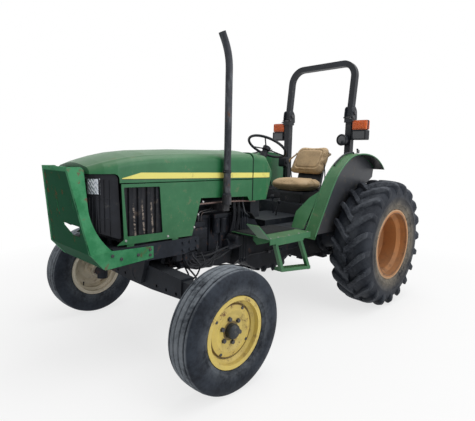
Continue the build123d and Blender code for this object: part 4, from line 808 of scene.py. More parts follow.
class TRACTOR_OT_rear_tyres(Operator):
    """Rear tyres: a round carcass with twenty deep slanting bars on each half of the tread."""

    bl_idname = "tractor.rear_tyres"
    bl_label = "Rear tyres"

    def execute(self, context):
        sizes = context.scene.tractor_sizes
        for name, _ in SIDES:
            node = f"rear_{name}_tyre"
            centre = middle(node)
            parts = [turned(hollow_section(REAR_WALL, REAR_AIR), centre, 120)]
            parts += [moved(tread_bars(sizes, half), centre) for half in (1, -1)]
            piece = build(f"{node}_tread", parts, node, 40, body=body_of(node))
            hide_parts(node)
        return {"FINISHED"}


class TRACTOR_OT_front_tyres(Operator):
    """Front tyres: ribbed tread with four grooves, and ringed walls."""

    bl_idname = "tractor.front_tyres"
    bl_label = "Front tyres"

    def execute(self, context):
        for name, _ in SIDES:
            node = f"front_{name}_tyre"
            part = turned(hollow_section(FRONT_WALL, FRONT_AIR), middle(node), 112)
            piece = build(f"{node}_ribbed", [part], node, 40, body=body_of(node))
            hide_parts(node)
        return {"FINISHED"}


def round_places(centre, radius, count, across, start=0.0):
    """Places on a circle about a wheel's axle: radius cos t, across, radius sin t."""
    t = np.radians(start) + np.arange(count) * 2 * np.pi / count
    spots = np.stack([radius * np.cos(t), np.full(count, across), radius * np.sin(t)], 1)
    return spots + np.asarray(centre, float)


def drum(start, length, radius, axis, edge=3.0, segments=32, steps=()):
    """A round body from a start point along an axis, its rims drawn in over a small edge.

    Steps are more (radius, distance along) points of its outline between its two ends.
    """
    bevel = math.copysign(edge, length)
    last = steps[-1][0] if steps else radius
    line = [(0, 0), (radius - edge, 0), (radius, bevel), *steps,
            (last, length - bevel), (last - edge, length), (0, length)]
    return turned(line, start, segments, axis)


# for each kind of wheel: ring of nuts and ring of disc bolts, as count, circle's radius, width, height, where
# they sit out from the middle of the tyre and where the first one is, in degrees; cap's profile; valve stem
WHEEL_TRIM = {
    "front": (((6, 75, 24, 15, 33.0, 20), (4, 150, 17, 6, 41.4, 35)),
              ((0, 33), (46, 33), (46, 60), (43, 69), (34, 76), (20, 79.5), (0, 80.5)), (171, 4.0, 12)),
    "rear": (((8, 101, 30, 22, -124.0, 20), (12, 249, 26, 16, -108.0, 35)),
             ((0, -82), (61, -82), (61, -77), (54, -72), (30, -68), (0, -67)), (262, 70.0, 16)),
}


class TRACTOR_OT_wheel_hardware(Operator):
    """Wheel nuts, hub caps, disc bolts and valve stems."""

    bl_idname = "tractor.wheel_hardware"
    bl_label = "Wheel hardware"

    def execute(self, context):
        for name, side in SIDES:
            for kind, (rings, cap, stem) in WHEEL_TRIM.items():
                node = f"{kind}_{name}_rim"
                body = body_of(node)
                centre = middle(f"{kind}_{name}_tyre")
                parts = []
                for count, radius, across, height, level, start in rings:
                    spots = round_places(centre, radius, count, level * side, start)
                    parts.append(hex_heads(spots, height, across, 1, side))
                build(f"{node}_nuts", parts, "dark_steel", body=body)
                cap = np.array(cap, float) * (1, side)
                build(f"{node}_cap", [turned(cap, centre, 40)], "black_paint", body=body)
                radius, level, lean = stem
                root = centre + (radius * 0.5, level * side, -radius * 0.866)
                tip = root + np.array([-lean, 28 * side, lean * 1.7])
                valve = [pipe([root, (root + tip) / 2 + (0, 4 * side, 0), tip], 4.2, 8, 10),
                         pipe([tip - (tip - root) * 0.28, tip], 5.4, 1, 10)]
                build(f"{node}_valve", valve, "black_plastic", body=body)
        return {"FINISHED"}


# ---- seat -----------------------------------------------------------------------------------
def pillow(half, plan, section, nu=64, nv=28):
    """A closed cushion form: its plan and its section are superellipses of their own powers.

    With c(t, p) = |cos t|^(2/p) signed and s the same of sin, a point is half x c(v) c(u),
    half y c(v) s(u), half z s(v).
    """
    def power(wave, p):
        return np.sign(wave) * np.abs(wave) ** (2 / p)

    u = np.linspace(0, 2 * np.pi, nu, endpoint=False)[:, None]
    v = np.linspace(-np.pi / 2, np.pi / 2, nv)[None]
    round_v = power(np.cos(v), section)
    grid = np.stack([half[0] * round_v * power(np.cos(u), plan), half[1] * round_v * power(np.sin(u), plan),
                     half[2] * power(np.sin(v), section) * np.ones_like(u)], -1)
    return grid.reshape(-1, 3), grid_faces(nu, nv, True, False)


def seat_form():
    """Seat cushion before it is filled: dished across, its sides raised and its front rolled down."""
    low, _ = extent("seat_cushion")
    points, faces = pillow((176, 240, 55), 4.4, 2.7)
    x, y, z = points.T
    top = np.clip(z / 56, 0, 1)
    dish = 15 * (np.abs(y) / 239) ** 2.2 - 9
    front, rear = np.clip((x - 80) / 92, 0, 1), np.clip((-x - 68) / 98, 0, 1)
    z = z + top * (dish - 20 * front ** 2 + 8 * rear)
    x = x - 14 * (np.abs(y) / 239) ** 3 * np.clip(x / 168, 0, 1)
    return np.stack([x + middle("seat_cushion")[0] + 2, y, z + low[2] + 66], 1), faces


# the back frame's face, low down and high up
BACK_DOWN = np.array([112.0, 0.0, 1300.0])
BACK_UP = np.array([20.0, 0.0, 1478.0])
# the sewn panel of each pad: half its length, half its width and the radius of its corners
CUSHION_PANEL = (102, 160, 62)
BACK_PANEL = (106, 144, 46)
SEAM_WIDTH, SEAM_DEPTH, SEAM_CORD = 9, 7, 0.0022


def back_axes():
    """Middle of the backrest with its three directions: forward, across and up its lean."""
    lean = (BACK_UP - BACK_DOWN) / np.linalg.norm(BACK_UP - BACK_DOWN)
    forward = np.array([lean[2], 0, -lean[0]])
    return (BACK_DOWN + BACK_UP) / 2 + forward * 47 - lean * 35, forward, np.array([0.0, 1.0, 0.0]), lean


def back_form():
    """Backrest before it is filled: wider low down, its sides brought forward, its foot rolled under."""
    points, faces = pillow((166, 217, 40), 6.0, 2.6)
    up, y, out = points.T
    rise = up / 166
    y = y * (1 - 0.14 * np.clip(rise, 0, 1) ** 1.6)
    out = out + 15 * (np.abs(y) / 209) ** 2.4 + 14 * np.clip(-rise, 0, 1) ** 2.5
    middle_point, forward, across, lean = back_axes()
    return middle_point + out[:, None] * forward + y[:, None] * across + up[:, None] * lean, faces


FOAM = {"use_pressure": True, "uniform_pressure_force": 4.0, "quality": 5, "tension_stiffness": 12.0,
        "compression_stiffness": 12.0, "bending_stiffness": 0.6}
FILL_STEPS = 20


def fill_pad(piece, cap):
    """Blow a pad up like its foam: voxel remesh, cloth under pressure, and a cap on how far a point goes.

    A point that moved by d keeps cap tanh(|d| / cap) of it along d.
    """
    scene = bpy.context.scene
    remesh = piece.modifiers.new("remesh", "REMESH")
    remesh.mode = "VOXEL"
    remesh.voxel_size = 0.0062
    settle(piece)
    start = read_points(piece.data)
    cloth = piece.modifiers.new("cloth", "CLOTH")
    for key, value in FOAM.items():
        setattr(cloth.settings, key, value)
    cloth.settings.effector_weights.gravity = 0.0
    cloth.collision_settings.use_collision = False
    for step in range(1, FILL_STEPS + 1):
        scene.frame_set(step)
    settle(piece)
    scene.frame_set(1)
    move = read_points(piece.data) - start
    length = np.maximum(np.linalg.norm(move, axis=1)[:, None], 1e-9)
    write_points(piece.data, start + move / length * cap * np.tanh(length / cap))


def read_points(mesh):
    """Every point of a mesh as one array."""
    points = np.empty(len(mesh.vertices) * 3)
    mesh.vertices.foreach_get("co", points)
    return points.reshape(-1, 3)


def write_points(mesh, points):
    """Put an array of points back into a mesh."""
    mesh.vertices.foreach_set("co", np.ascontiguousarray(points).ravel())
    mesh.update()


def settle(piece):
    """Turn a piece's modifiers into its own mesh."""
    graph = bpy.context.evaluated_depsgraph_get()
    mesh = bpy.data.meshes.new_from_object(piece.evaluated_get(graph))
    piece.modifiers.clear()
    piece.data = mesh


def groove(points, distance, direction, width, depth):
    """Press a channel into points: depth exp(-(distance / width)^2) along a direction."""
    return points + direction * (-depth * np.exp(-(distance / width) ** 2))[:, None]


def box_distance(a, b, half_a, half_b, round_r):
    """Distance of (a, b) from the outline of a rounded rectangle about the origin."""
    qa, qb = np.abs(a) - half_a + round_r, np.abs(b) - half_b + round_r
    outside = np.hypot(np.maximum(qa, 0), np.maximum(qb, 0))
    return np.abs(outside + np.minimum(np.maximum(qa, qb), 0) - round_r)


def rounded_ring(half_a, half_b, round_r):
    """Closed outline of a rounded rectangle about the origin, in small steps."""
    line = bar_section(half_a, half_b, round_r, 8)
    after = np.roll(line, -1, 0)
    t = np.linspace(0, 1, 8, endpoint=False)[None, :, None]
    return (line[:, None] * (1 - t) + after[:, None] * t).reshape(-1, 2)


def laid_seam(piece, starts, direction):
    """A closed stitched cord laid on a pad: its points are dropped on the surface along a direction."""
    tree = BVHTree.FromObject(piece, bpy.context.evaluated_depsgraph_get())
    hits = [tree.ray_cast(Vector(point), Vector(direction))[0] for point in to_frame(starts)]
    path = np.array([hit for hit in hits if hit is not None])
    return looped(path, lambda line, ahead: np.asarray(direction, float), SEAM_CORD)


def finish_pad(piece, name, seam):
    points, faces = seam
    new_piece(f"{name}_seam", points, faces.tolist(), "vinyl_seam", "chassis")
    smooth = piece.modifiers.new("smooth", "SUBSURF")
    smooth.levels = smooth.render_levels = 1
    settle(piece)
    piece.data.shade_smooth()
    piece.data.materials.clear()
    piece.data.materials.append(material("tan_vinyl"))


class TRACTOR_OT_seat(Operator):
    """Cushion and backrest: filled vinyl pads with a sewn channel and a cord, and the bars beside them."""

    bl_idname = "tractor.seat"
    bl_label = "Seat"

    def execute(self, context):
        self.cushion()
        self.backrest()
        self.side_trim()
        return {"FINISHED"}

    def cushion(self):
        """The cushion: filled, kept within its frame's box, with a channel and a cord round its panel."""
        low, high = extent("seat_cushion")
        panel_x = middle("seat_cushion")[0] - 12
        seat = build("seat_cushion_pad", [seat_form()], "tan_vinyl", sharp=80)
        fill_pad(seat, 0.016)
        points = to_maker(read_points(seat.data))
        way = box_distance(points[:, 0] - panel_x, points[:, 1], *CUSHION_PANEL)
        upper = np.clip((points[:, 2] - low[2] - 55) / 20, 0, 1)
        points = groove(points, way, np.array([0, 0, 1.0]), SEAM_WIDTH, SEAM_DEPTH * upper)
        points[:, 2] = np.maximum(points[:, 2], low[2] + 0.4)
        points = np.clip(points, low - (4, 4, 0), high + (4, 4, 6))
        write_points(seat.data, to_frame(points))
        ring = rounded_ring(*CUSHION_PANEL)
        starts = np.stack([ring[:, 0] + panel_x, ring[:, 1], np.full(len(ring), high[2] + 60)], 1)
        seam = laid_seam(seat, starts, (0, 0, -1))
        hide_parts("seat_cushion")
        finish_pad(seat, "seat_cushion", seam)

    def backrest(self):
        """The backrest: filled, kept off its frame, with a channel and a cord round its panel."""
        back = build("seat_back_pad", [back_form()], "tan_vinyl", sharp=80)
        fill_pad(back, 0.015)
        origin, forward, across, lean = back_axes()
        points = to_maker(read_points(back.data))
        local = points - origin
        way = box_distance(local @ lean - 4, local @ across, *BACK_PANEL)
        face = np.clip((local @ forward - 12) / 14, 0, 1)
        points = groove(points, way, forward, SEAM_WIDTH, SEAM_DEPTH * face)
        points += np.maximum(-46.5 - (points - origin) @ forward, 0)[:, None] * forward
        write_points(back.data, to_frame(points))
        ring = rounded_ring(*BACK_PANEL)
        starts = origin + forward * 120 + (ring[:, :1] + 4) * lean + ring[:, 1:] * across
        seam = laid_seam(back, starts, tuple(-forward))
        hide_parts("seat_backrest")
        finish_pad(back, "seat_back", seam)

    def side_trim(self):
        """Flat bars, pivots and straps on both sides of the seat."""
        bars, straps = [], []
        for _, side in SIDES:
            line = [(88, 214 * side, 1452), (214, 218 * side, 1383), (206, 219 * side, 1360)]
            bars.append(swept(rounded_path(line, 8, 5), bar_section(9, 3, 2.5, 3)))
            line = [(206, 219 * side, 1368), (176, 219 * side, 1262), (168, 214 * side, 1180)]
            straps.append(pipe(line, 5.5, 30, 10))
            bars.append(drum((88, 208 * side, 1452), 12 * side, 12, 1, 2, 20))
        build("seat_side_bars", bars, "vinyl_seam", 50)
        build("seat_side_straps", straps, "black_plastic", sharp=50)


# ---- engine and frame -----------------------------------------------------------------------
class TRACTOR_OT_engine_dressing(Operator):
    """What hangs on the engine: manifold, injection pump, filters, alternator, fan belt and tubes."""

    bl_idname = "tractor.engine_dressing"
    bl_label = "Engine dressing"

    def execute(self, context):
        low, high = extent("engine")
        front, rear = high[0], low[0]
        exhaust_low, _ = extent("exhaust_pipe")
        pipe_x, pipe_y = middle("exhaust_pipe")[0] - 39, exhaust_low[1] + 35
        stations = np.linspace(rear + 150, front - 90, 4)
        ribs = np.linspace(rear + 60, front - 50, 7)
        wall = 168
        left, dark, steel = [], [], []
        # exhaust side: log manifold, four branches and the elbow up to the stack
        left.append(pipe([(rear + 130, 158, 1052), (front - 60, 158, 1052)], 30, 10, 20))
        left += [pipe([(x, 118, 1030), (x, 160, 1048)], 24, 5, 14) for x in stations]
        left.append(pipe([(pipe_x, 158, 1046), (pipe_x, pipe_y, 1030), (pipe_x, pipe_y, 1068)], 25, 60, 18))
        # crankcase ribs on its side wall, rails of its joints and core plugs
        left += [slab(x - 5, x + 5, wall, wall + 14, 665, 940, 3, 2, 0) for x in ribs]
        left.append(slab(rear + 40, front - 20, wall - 2, wall + 18, 930, 958, 6, 3, 0))
        left.append(slab(rear + 40, front - 20, wall - 2, wall + 16, 642, 664, 6, 3, 0))
        left += [drum((x, wall, 800), 9, 24, 1, 3, 24) for x in ribs[:-1] + 50]
        # injection pump with its lines
        left.append(slab(1790, 1960, 176, 262, 790, 880, 16, 6, 0))
        left.append(drum((1960, 218, 838), 44, 52, 0, 6, 28))
        left.append(slab(1810, 1930, 190, 250, 878, 922, 10, 4, 0))
        for k, x in enumerate(stations):
            outlet = 1826 + 26 * k
            steel.append(pipe([(outlet, 222, 918), (outlet, 228, 985 + 9 * k), (x + 20, 205, 1006 + 11 * k),
                               (x + 20, 132, 1096), (x + 8, 112, 1112)], 4.2, 26, 8))
        # filters and their head
        left.append(slab(1560, 1700, 186, 238, 930, 966, 8, 4, 0))
        for x in (1596, 1664):
            left.append(drum((x, 214, 930), -118, 31, 2, 6, 28, ((33, -8), (33, -14), (31, -18))))
        left.append(drum((1490, 186, 742), 128, 47, 1, 8, 32, ((49, 12), (49, 20), (46, 26))))
        # starter and oil cooler
        left.append(drum((1400, 205, 700), 150, 42, 0, 8, 28, ((42, 90), (48, 94))))
        left.append(drum((1420, 232, 752), 96, 22, 0, 5, 20))
        # rail, harness and hoses along the top
        rail = [(rear - 20, 262, 1046), (rear + 190, 264, 1058), (rear + 360, 262, 1062),
                (front - 140, 256, 1058), (front - 70, 214, 1030)]
        build("engine_top_rail", [pipe(rail, 6.5, 60, 12)], "faded_hose")
        for k in range(6):
            x, out = 1402 + 17 * k, 8 * (k % 3)
            dark.append(pipe([(x, 150, 1105 - 6 * k), (x + 2, 206 + out, 1080), (x - 6, 214 + out, 930),
                              (x + 12, 208, 800), (x + 30 - 6 * k, 192, 690 + 12 * k)],
                             6.0 + (k % 2) * 2.2, 46, 10))
        # front: water pump, fan belt and alternator
        left.append(drum((front, 0, 985), 34, 66, 0, 6, 40))
        left.append(drum((front, 0, 700), 40, 74, 0, 6, 40))
        vents = ((58, 30), (52, 34), (52, 60), (58, 64))
        left.append(drum((front - 120, 208, 1000), 150, 58, 0, 10, 32, vents))
        left.append(drum((front + 14, 208, 1000), 24, 34, 0, 4, 28))
        belt = rounded_path([(208, 1036), (-30, 1052), (-74, 985), (-80, 700), (0, 624), (80, 700),
                             (242, 990), (208, 1036), (-30, 1052)], 60, 8)[1:-2]
        dark.append(swept(np.insert(belt, 0, front + 24, axis=1), bar_section(5, 6)))
        # right side: intake manifold, oil filter and dipstick
        right = [pipe([(rear + 130, -156, 1060), (front - 60, -156, 1060)], 32, 10, 18)]
        right += [pipe([(x, -118, 1040), (x, -158, 1056)], 24, 5, 14) for x in stations]
        right += [slab(x - 5, x + 5, -wall - 14, -wall, 665, 940, 3, 2, 0) for x in ribs]
        right.append(drum((1880, -172, 760), -120, 44, 1, 8, 32))
        right.append(slab(1500, 1640, -214, -wall, 700, 820, 12, 5, 0))
        right.append(pipe([(1740, -176, 720), (1740, -206, 800), (1744, -196, 1040)], 5.5, 30, 8))
        build("engine_left_dressing", left, "engine_dirty", 38)
        build("engine_right_dressing", right, "engine_dirty", 38)
        build("engine_tubes", dark, "black_plastic", sharp=50)
        build("injection_lines", steel, "dark_steel", 50)
        caps = [drum((x, 0, high[2] - 6), 13, 16, 2, 3, 20) for x in stations]
        caps.append(drum((rear + 110, 30, high[2] - 4), 30, 34, 2, 6, 28))
        caps.append(slab(rear + 70, front - 110, -70, 70, high[2] - 12, high[2] + 4, 16, 4, 2))
        build("rocker_cover_caps", caps, "engine_dirty", 38)
        return {"FINISHED"}


class TRACTOR_OT_underside(Operator):
    """Bolts, ribs and covers of the clutch housing, gear case, axle trumpets and front frame."""

    bl_idname = "tractor.underside"
    bl_label = "Driveline and frame dressing"

    def execute(self, context):
        heads, plates = [], []
        ring = round_places((0, 0, TYRE_RADIUS), 168, 12, 0, math.degrees(0.2))
        for _, side in SIDES:
            # clutch housing: bolts of its joint, ribs; gear case: bolts and a cover with its own
            spots = [(1296, y * side, z) for y, z in ((196, 540), (206, 660), (206, 780), (196, 880))]
            heads.append(hex_heads(spots, 10, 18, 0, -1.0))
            plates += [slab(x - 4, x + 4, 196 * side, 220 * side, 520, 960, 4, 2, 0)
                       for x in (1315, 1345, 1375)]
            spots = [(x, 160 * side, 770) for x in (480, 620, 760, 900, 1040)]
            heads.append(hex_heads(spots, 9, 17, 1, side))
            plates.append(slab(520, 800, 158 * side, 170 * side, 520, 740, 20, 4, 1))
            spots = [(x, 170 * side, z) for x in (545, 660, 775) for z in (540, 720)]
            heads.append(hex_heads(spots, 8, 15, 1, side))
            # flanges of the axle trumpets, and the front frame's rails
            heads.append(hex_heads(ring + (0, 196 * side, 0), 11, 20, 1, side))
            spots = [(x, 302 * side, z) for x in (1930, 1990, 2050) for z in (745, 800)]
            heads.append(hex_heads(spots, 11, 22, 1, side))
        for x in (1915, 2080):
            plates.append(slab(x, x + 26, -250, 250, 716, 742, 6, 3, 0))
        build("driveline_bolts", heads, "cast_black", sharp=38)
        build("driveline_covers", plates, "cast_black", sharp=38)
        return {"FINISHED"}


class TRACTOR_OT_hydraulics(Operator):
    """Rigid steering lines along the front axle and the oil lines along the driveline."""

    bl_idname = "tractor.hydraulics"
    bl_label = "Hydraulic lines"

    def execute(self, context):
        lines = [pipe(line, radius, bend, 10) for line, radius, bend in (
            (((2074, 150, 545), (2030, 130, 585), (1960, 190, 640), (1780, 268, 660), (1500, 236, 700)),
             6.5, 50),
            (((2074, 400, 545), (2046, 360, 580), (2000, 250, 606), (1900, 236, 640), (1690, 262, 612),
              (1520, 232, 660)), 6.5, 60),
            (((2120, 60, 640), (2010, 180, 596), (1930, 330, 588), (1900, 372, 640), (1880, 296, 700)),
             5.0, 60),
            (((2052, -140, 548), (2004, -108, 584), (2000, 103, 540), (2000, 242, 602), (2000, 300, 602),
              (2000, 397, 552), (2050, 420, 536)), 6.5, 34),
            (((2050, 380, 530), (2000, 397, 570), (2000, 440, 654), (1990, 330, 700), (1960, 290, 706)),
             6.0, 30),
            (((1900, -120, 700), (1700, -60, 500), (1380, 60, 470), (1220, 110, 440)), 8.0, 70),
        )]
        for _, side in SIDES:
            lines.append(pipe([(1250, 176 * side, 560), (900, 182 * side, 560), (480, 188 * side, 620),
                               (-60, 176 * side, 760), (-190, 120 * side, 900)], 7.0, 60, 10))
        lines += [pipe([(1936 + 26 * k, 262, 700), (1930 + 26 * k, 300, 650 - 12 * k),
                        (1850 - 30 * k, 286, 618 - 16 * k), (1640, 246 - 12 * k, 640 + 30 * k)],
                       6.0 + k % 2, 34, 10) for k in range(4)]
        blocks = [slab(1916, 2040, 226, 292, 652, 716, 10, 5, 2), drum((1900, 232, 628), 148, 37, 0, 7, 30),
                  drum((1890, 232, 628), 12, 22, 0, 3, 24), slab(2044, 2100, 236, 288, 664, 716, 8, 4, 0),
                  slab(1700, 1860, 196, 240, 600, 652, 12, 5, 0)]
        blocks += [drum((1936 + 26 * k, 262, 658), -14, 11, 2, 2, 18) for k in range(4)]
        blocks += [hex_heads([(x, 292, z) for x in (1930, 1978, 2026) for z in (668, 702)], 7, 15, 1, 1.0)]
        build("steering_valve_and_filter", blocks, "engine_dirty", 38)
        build("oil_lines", lines, "black_plastic", sharp=50)
        ends = [drum((2074, y, 533), 24, 10, 2, 2, 12) for y in (150, 400)]
        ends += [slab(x - 14, x + 14, 180, 214, 548, 572, 3, 2, 0) for x in (1320, 1000)]
        build("line_fittings", ends, "dark_steel")
        return {"FINISHED"}


# ---- operator's place -----------------------------------------------------------------------
# height of the deck
FLOOR = 806.0
# each lever: its foot, its bend, its tip and its knob's radius
LEVERS = (
    ((640, -60, 850), (660, -66, 950), (650, -72, 1020), 20),
    ((760, 70, 850), (760, 84, 930), (744, 92, 990), 18),
    ((330, -400, 960), (400, -404, 1160), (440, -404, 1222), 17),
    ((360, -440, 960), (436, -444, 1150), (470, -444, 1214), 17),
    ((300, -360, 960), (352, -360, 1140), (382, -360, 1200), 16),
    ((300, 400, 960), (340, 404, 1120), (372, 404, 1176), 16),
)
# a knob's profile, as shares of its radius
KNOB = ((0, -1.3), (0.55, -1.25), (0.9, -0.5), (1, 0), (0.88, 0.55), (0.5, 0.95), (0, 1.08))


def across_rows(rows):
    """Shifts across the tractor, one for each row."""
    return np.stack([0 * rows, rows, 0 * rows], 1)


class TRACTOR_OT_operator_station(Operator):
    """Rubber mats, pedals, levers with their knobs, side consoles, the belt's reel and the gauges."""

    bl_idname = "tractor.operator_station"
    bl_label = "Operator's place"

    def execute(self, context):
        mats, pedals, arms, knobs = [], [], [], []
        inner, outer = 236.0, 492.0
        for _, side in SIDES:
            right, left = sorted((inner * side, outer * side))
            mats.append(slab(996, 1488, right, left, FLOOR + 0.5, FLOOR + 5, 20, 2, 2))
            rows = np.linspace(inner + 16, outer - 16, 14) * side
            mats.append(repeated(slab(1010, 1474, -5, 5, FLOOR + 4, FLOOR + 9, 3, 2, 2), across_rows(rows)))
        build("floor_mats", mats, "rubber_mat", 40)
        pad = slab(-34, 34, -40, 40, -6, 6, 12, 3, 2)
        bars = repeated(slab(-2.5, 2.5, -34, 34, 5, 9, 2, 1, 2), [(k, 0, 0) for k in (-22, -8, 8, 22)])
        turn = Matrix.Rotation(math.radians(-52), 3, "Y")
        for y in (300, -300, -408):
            pedals += [moved(part, (1362, y, 934), turn) for part in (pad, bars)]
            arms.append(pipe([(1372, y, 930), (1432, y, 960), (1412, y * 0.8, 1090), (1312, y * 0.72, 1120)],
                             9, 50, 10))
        build("pedal_pads", pedals, "rubber_mat", 40)
        for start, bend, tip, knob in LEVERS:
            arms.append(pipe([start, bend, tip], 7.5, 60, 12))
            knobs.append(turned(np.array(KNOB) * knob, tip, 24, 2))
        build("levers_and_pedal_arms", arms, "black_paint", sharp=50)
        build("lever_knobs", knobs, "black_plastic", sharp=50)
        consoles = [slab(190, 500, -470, -330, 960, 1078, 30, 8, 1),
                    slab(230, 470, -452, -348, 1076, 1092, 18, 4, 2),
                    slab(250, 440, 350, 452, 960, 1034, 24, 6, 1)]
        reel = [slab(66, 138, -440, -344, 1304, 1412, 26, 8, 1),
                slab(60, 70, -424, -356, 1290, 1426, 8, 2, 0), drum((102, -344, 1362), 16, 30, 1, 4, 28),
                swept(np.linspace((104, -352, 1310), (210, -262, 1100), 12), bar_section(20, 1))]
        build("belt_reel", reel, "black_plastic", sharp=38)
        build("side_consoles", consoles, "black_plastic", sharp=38)
        self.gauges()
        return {"FINISHED"}

    def gauges(self):
        """Round gauges on the dash: bezel, dark face, generic dial marks and a needle, laid on its slope."""
        low, high = extent("instrument_panel")
        slope = math.atan2(high[2] - low[2], high[0] - low[0])
        normal = np.array([-math.sin(slope), 0, math.cos(slope)])
        along = np.array([math.cos(slope), 0, math.sin(slope)])
        centre = (low + high) / 2 + normal * 7
        turn = np.array([along, (0, 1, 0), normal]).T
        rims, faces, marks, needles = [], [], [], []
        for y, radius in ((0, 44), (-92, 32), (92, 32)):
            spot = centre + (0, y, 0)
            rim = [(radius - 6, 0), (radius + 3, 0), (radius + 3, 8), (radius, 11), (radius - 6, 9)]
            rims.append(moved(turned(rim, (0, 0, 0), 40, 2), spot, turn))
            face = [(0, 1), (radius - 5, 1), (radius - 5, 4), (0, 4)]
            faces.append(moved(turned(face, (0, 0, 0), 32, 2), spot, turn))
            tick = slab(radius * 0.68, radius * 0.82, -1, 1, 4, 4.8, 0.4, 0.2, 2)
            for angle in np.radians(np.linspace(-130, 130, 11)):
                marks.append(moved(moved(tick, (0, 0, 0), Matrix.Rotation(angle, 3, "Z")), spot, turn))
            needles.append(moved(slab(-5, radius * 0.6, -1.2, 1.2, 4.6, 5.6, 0.6, 0.3, 2), spot, turn))
        lamp = turned([(0, 0), (9, 0), (9, 6), (6, 9), (0, 9)], (0, 0, 0), 20, 2)
        needles += [moved(lamp, centre + along * -34 + (0, y, 0), turn) for y in (-150, 150, -128, 128)]
        build("gauge_bezels", rims, "black_plastic")
        build("gauge_faces", faces, "gauge_face")
        build("gauge_marks", marks, "gauge_mark")
        build("gauge_needles", needles, "amber_lens")


class TRACTOR_OT_steering_wheel(Operator):
    """The wheel's hub cover and the ribbed boot round the column."""

    bl_idname = "tractor.steering_wheel"
    bl_label = "Steering wheel trim"

    def execute(self, context):
        joint = next(j for j in frame["record"]["behaviour"]["joints"] if j["name"] == "steering_wheel_turn")
        up = np.array(joint["axis"], float)
        across = np.array([0.0, 1.0, 0.0])
        turn = np.array([np.cross(across, up), across, up]).T
        hub = np.array([857.0, 0, 1477.0])
        cover = [(0, -8), (24, -8), (30, 2), (30, 8), (25, 14), (12, 17), (0, 17.5)]
        cover = moved(turned(cover, (0, 0, 0), 40, 2), hub - up * 26, turn)
        build("wheel_hub_cover", [cover], "black_plastic", body="steering_wheel")
        boot = [(35, -196), (47, -196), (47, -188), (41, -176), (46, -168), (39.5, -156), (44, -148),
                (38, -136), (42, -128), (36.5, -118), (35, -118)]
        boot = moved(turned(boot, (0, 0, 0), 36, 2), hub - up * 8, turn)
        build("column_boot", [boot], "rubber_mat", 60)
        return {"FINISHED"}


# ---- lamps ----------------------------------------------------------------------------------
# width of a square lamp on the roll bar
LAMP_WIDTH = 152


def nose_skin(side):
    """A function that finds the nose's skin at an angle and a height, by a ray towards a point inside it."""
    graph = bpy.context.evaluated_depsgraph_get()
    trees = [BVHTree.FromObject(frame["nodes"][name], graph) for name in ("grille", "headlights")]
    core = np.array([extent("headlights")[1][0] - 83, 100 * side, 0.0])

    def skin(angle, height, off):
        way = np.array([math.cos(angle), math.sin(angle) * side, 0.0])
        start = core + way * 400 + (0, 0, height)
        hits = [tree.ray_cast(Vector(to_frame(start)), Vector(-way))[3] for tree in trees]
        reach = min(hit for hit in hits if hit is not None) / MM
        return start - way * (reach - off)

    return skin


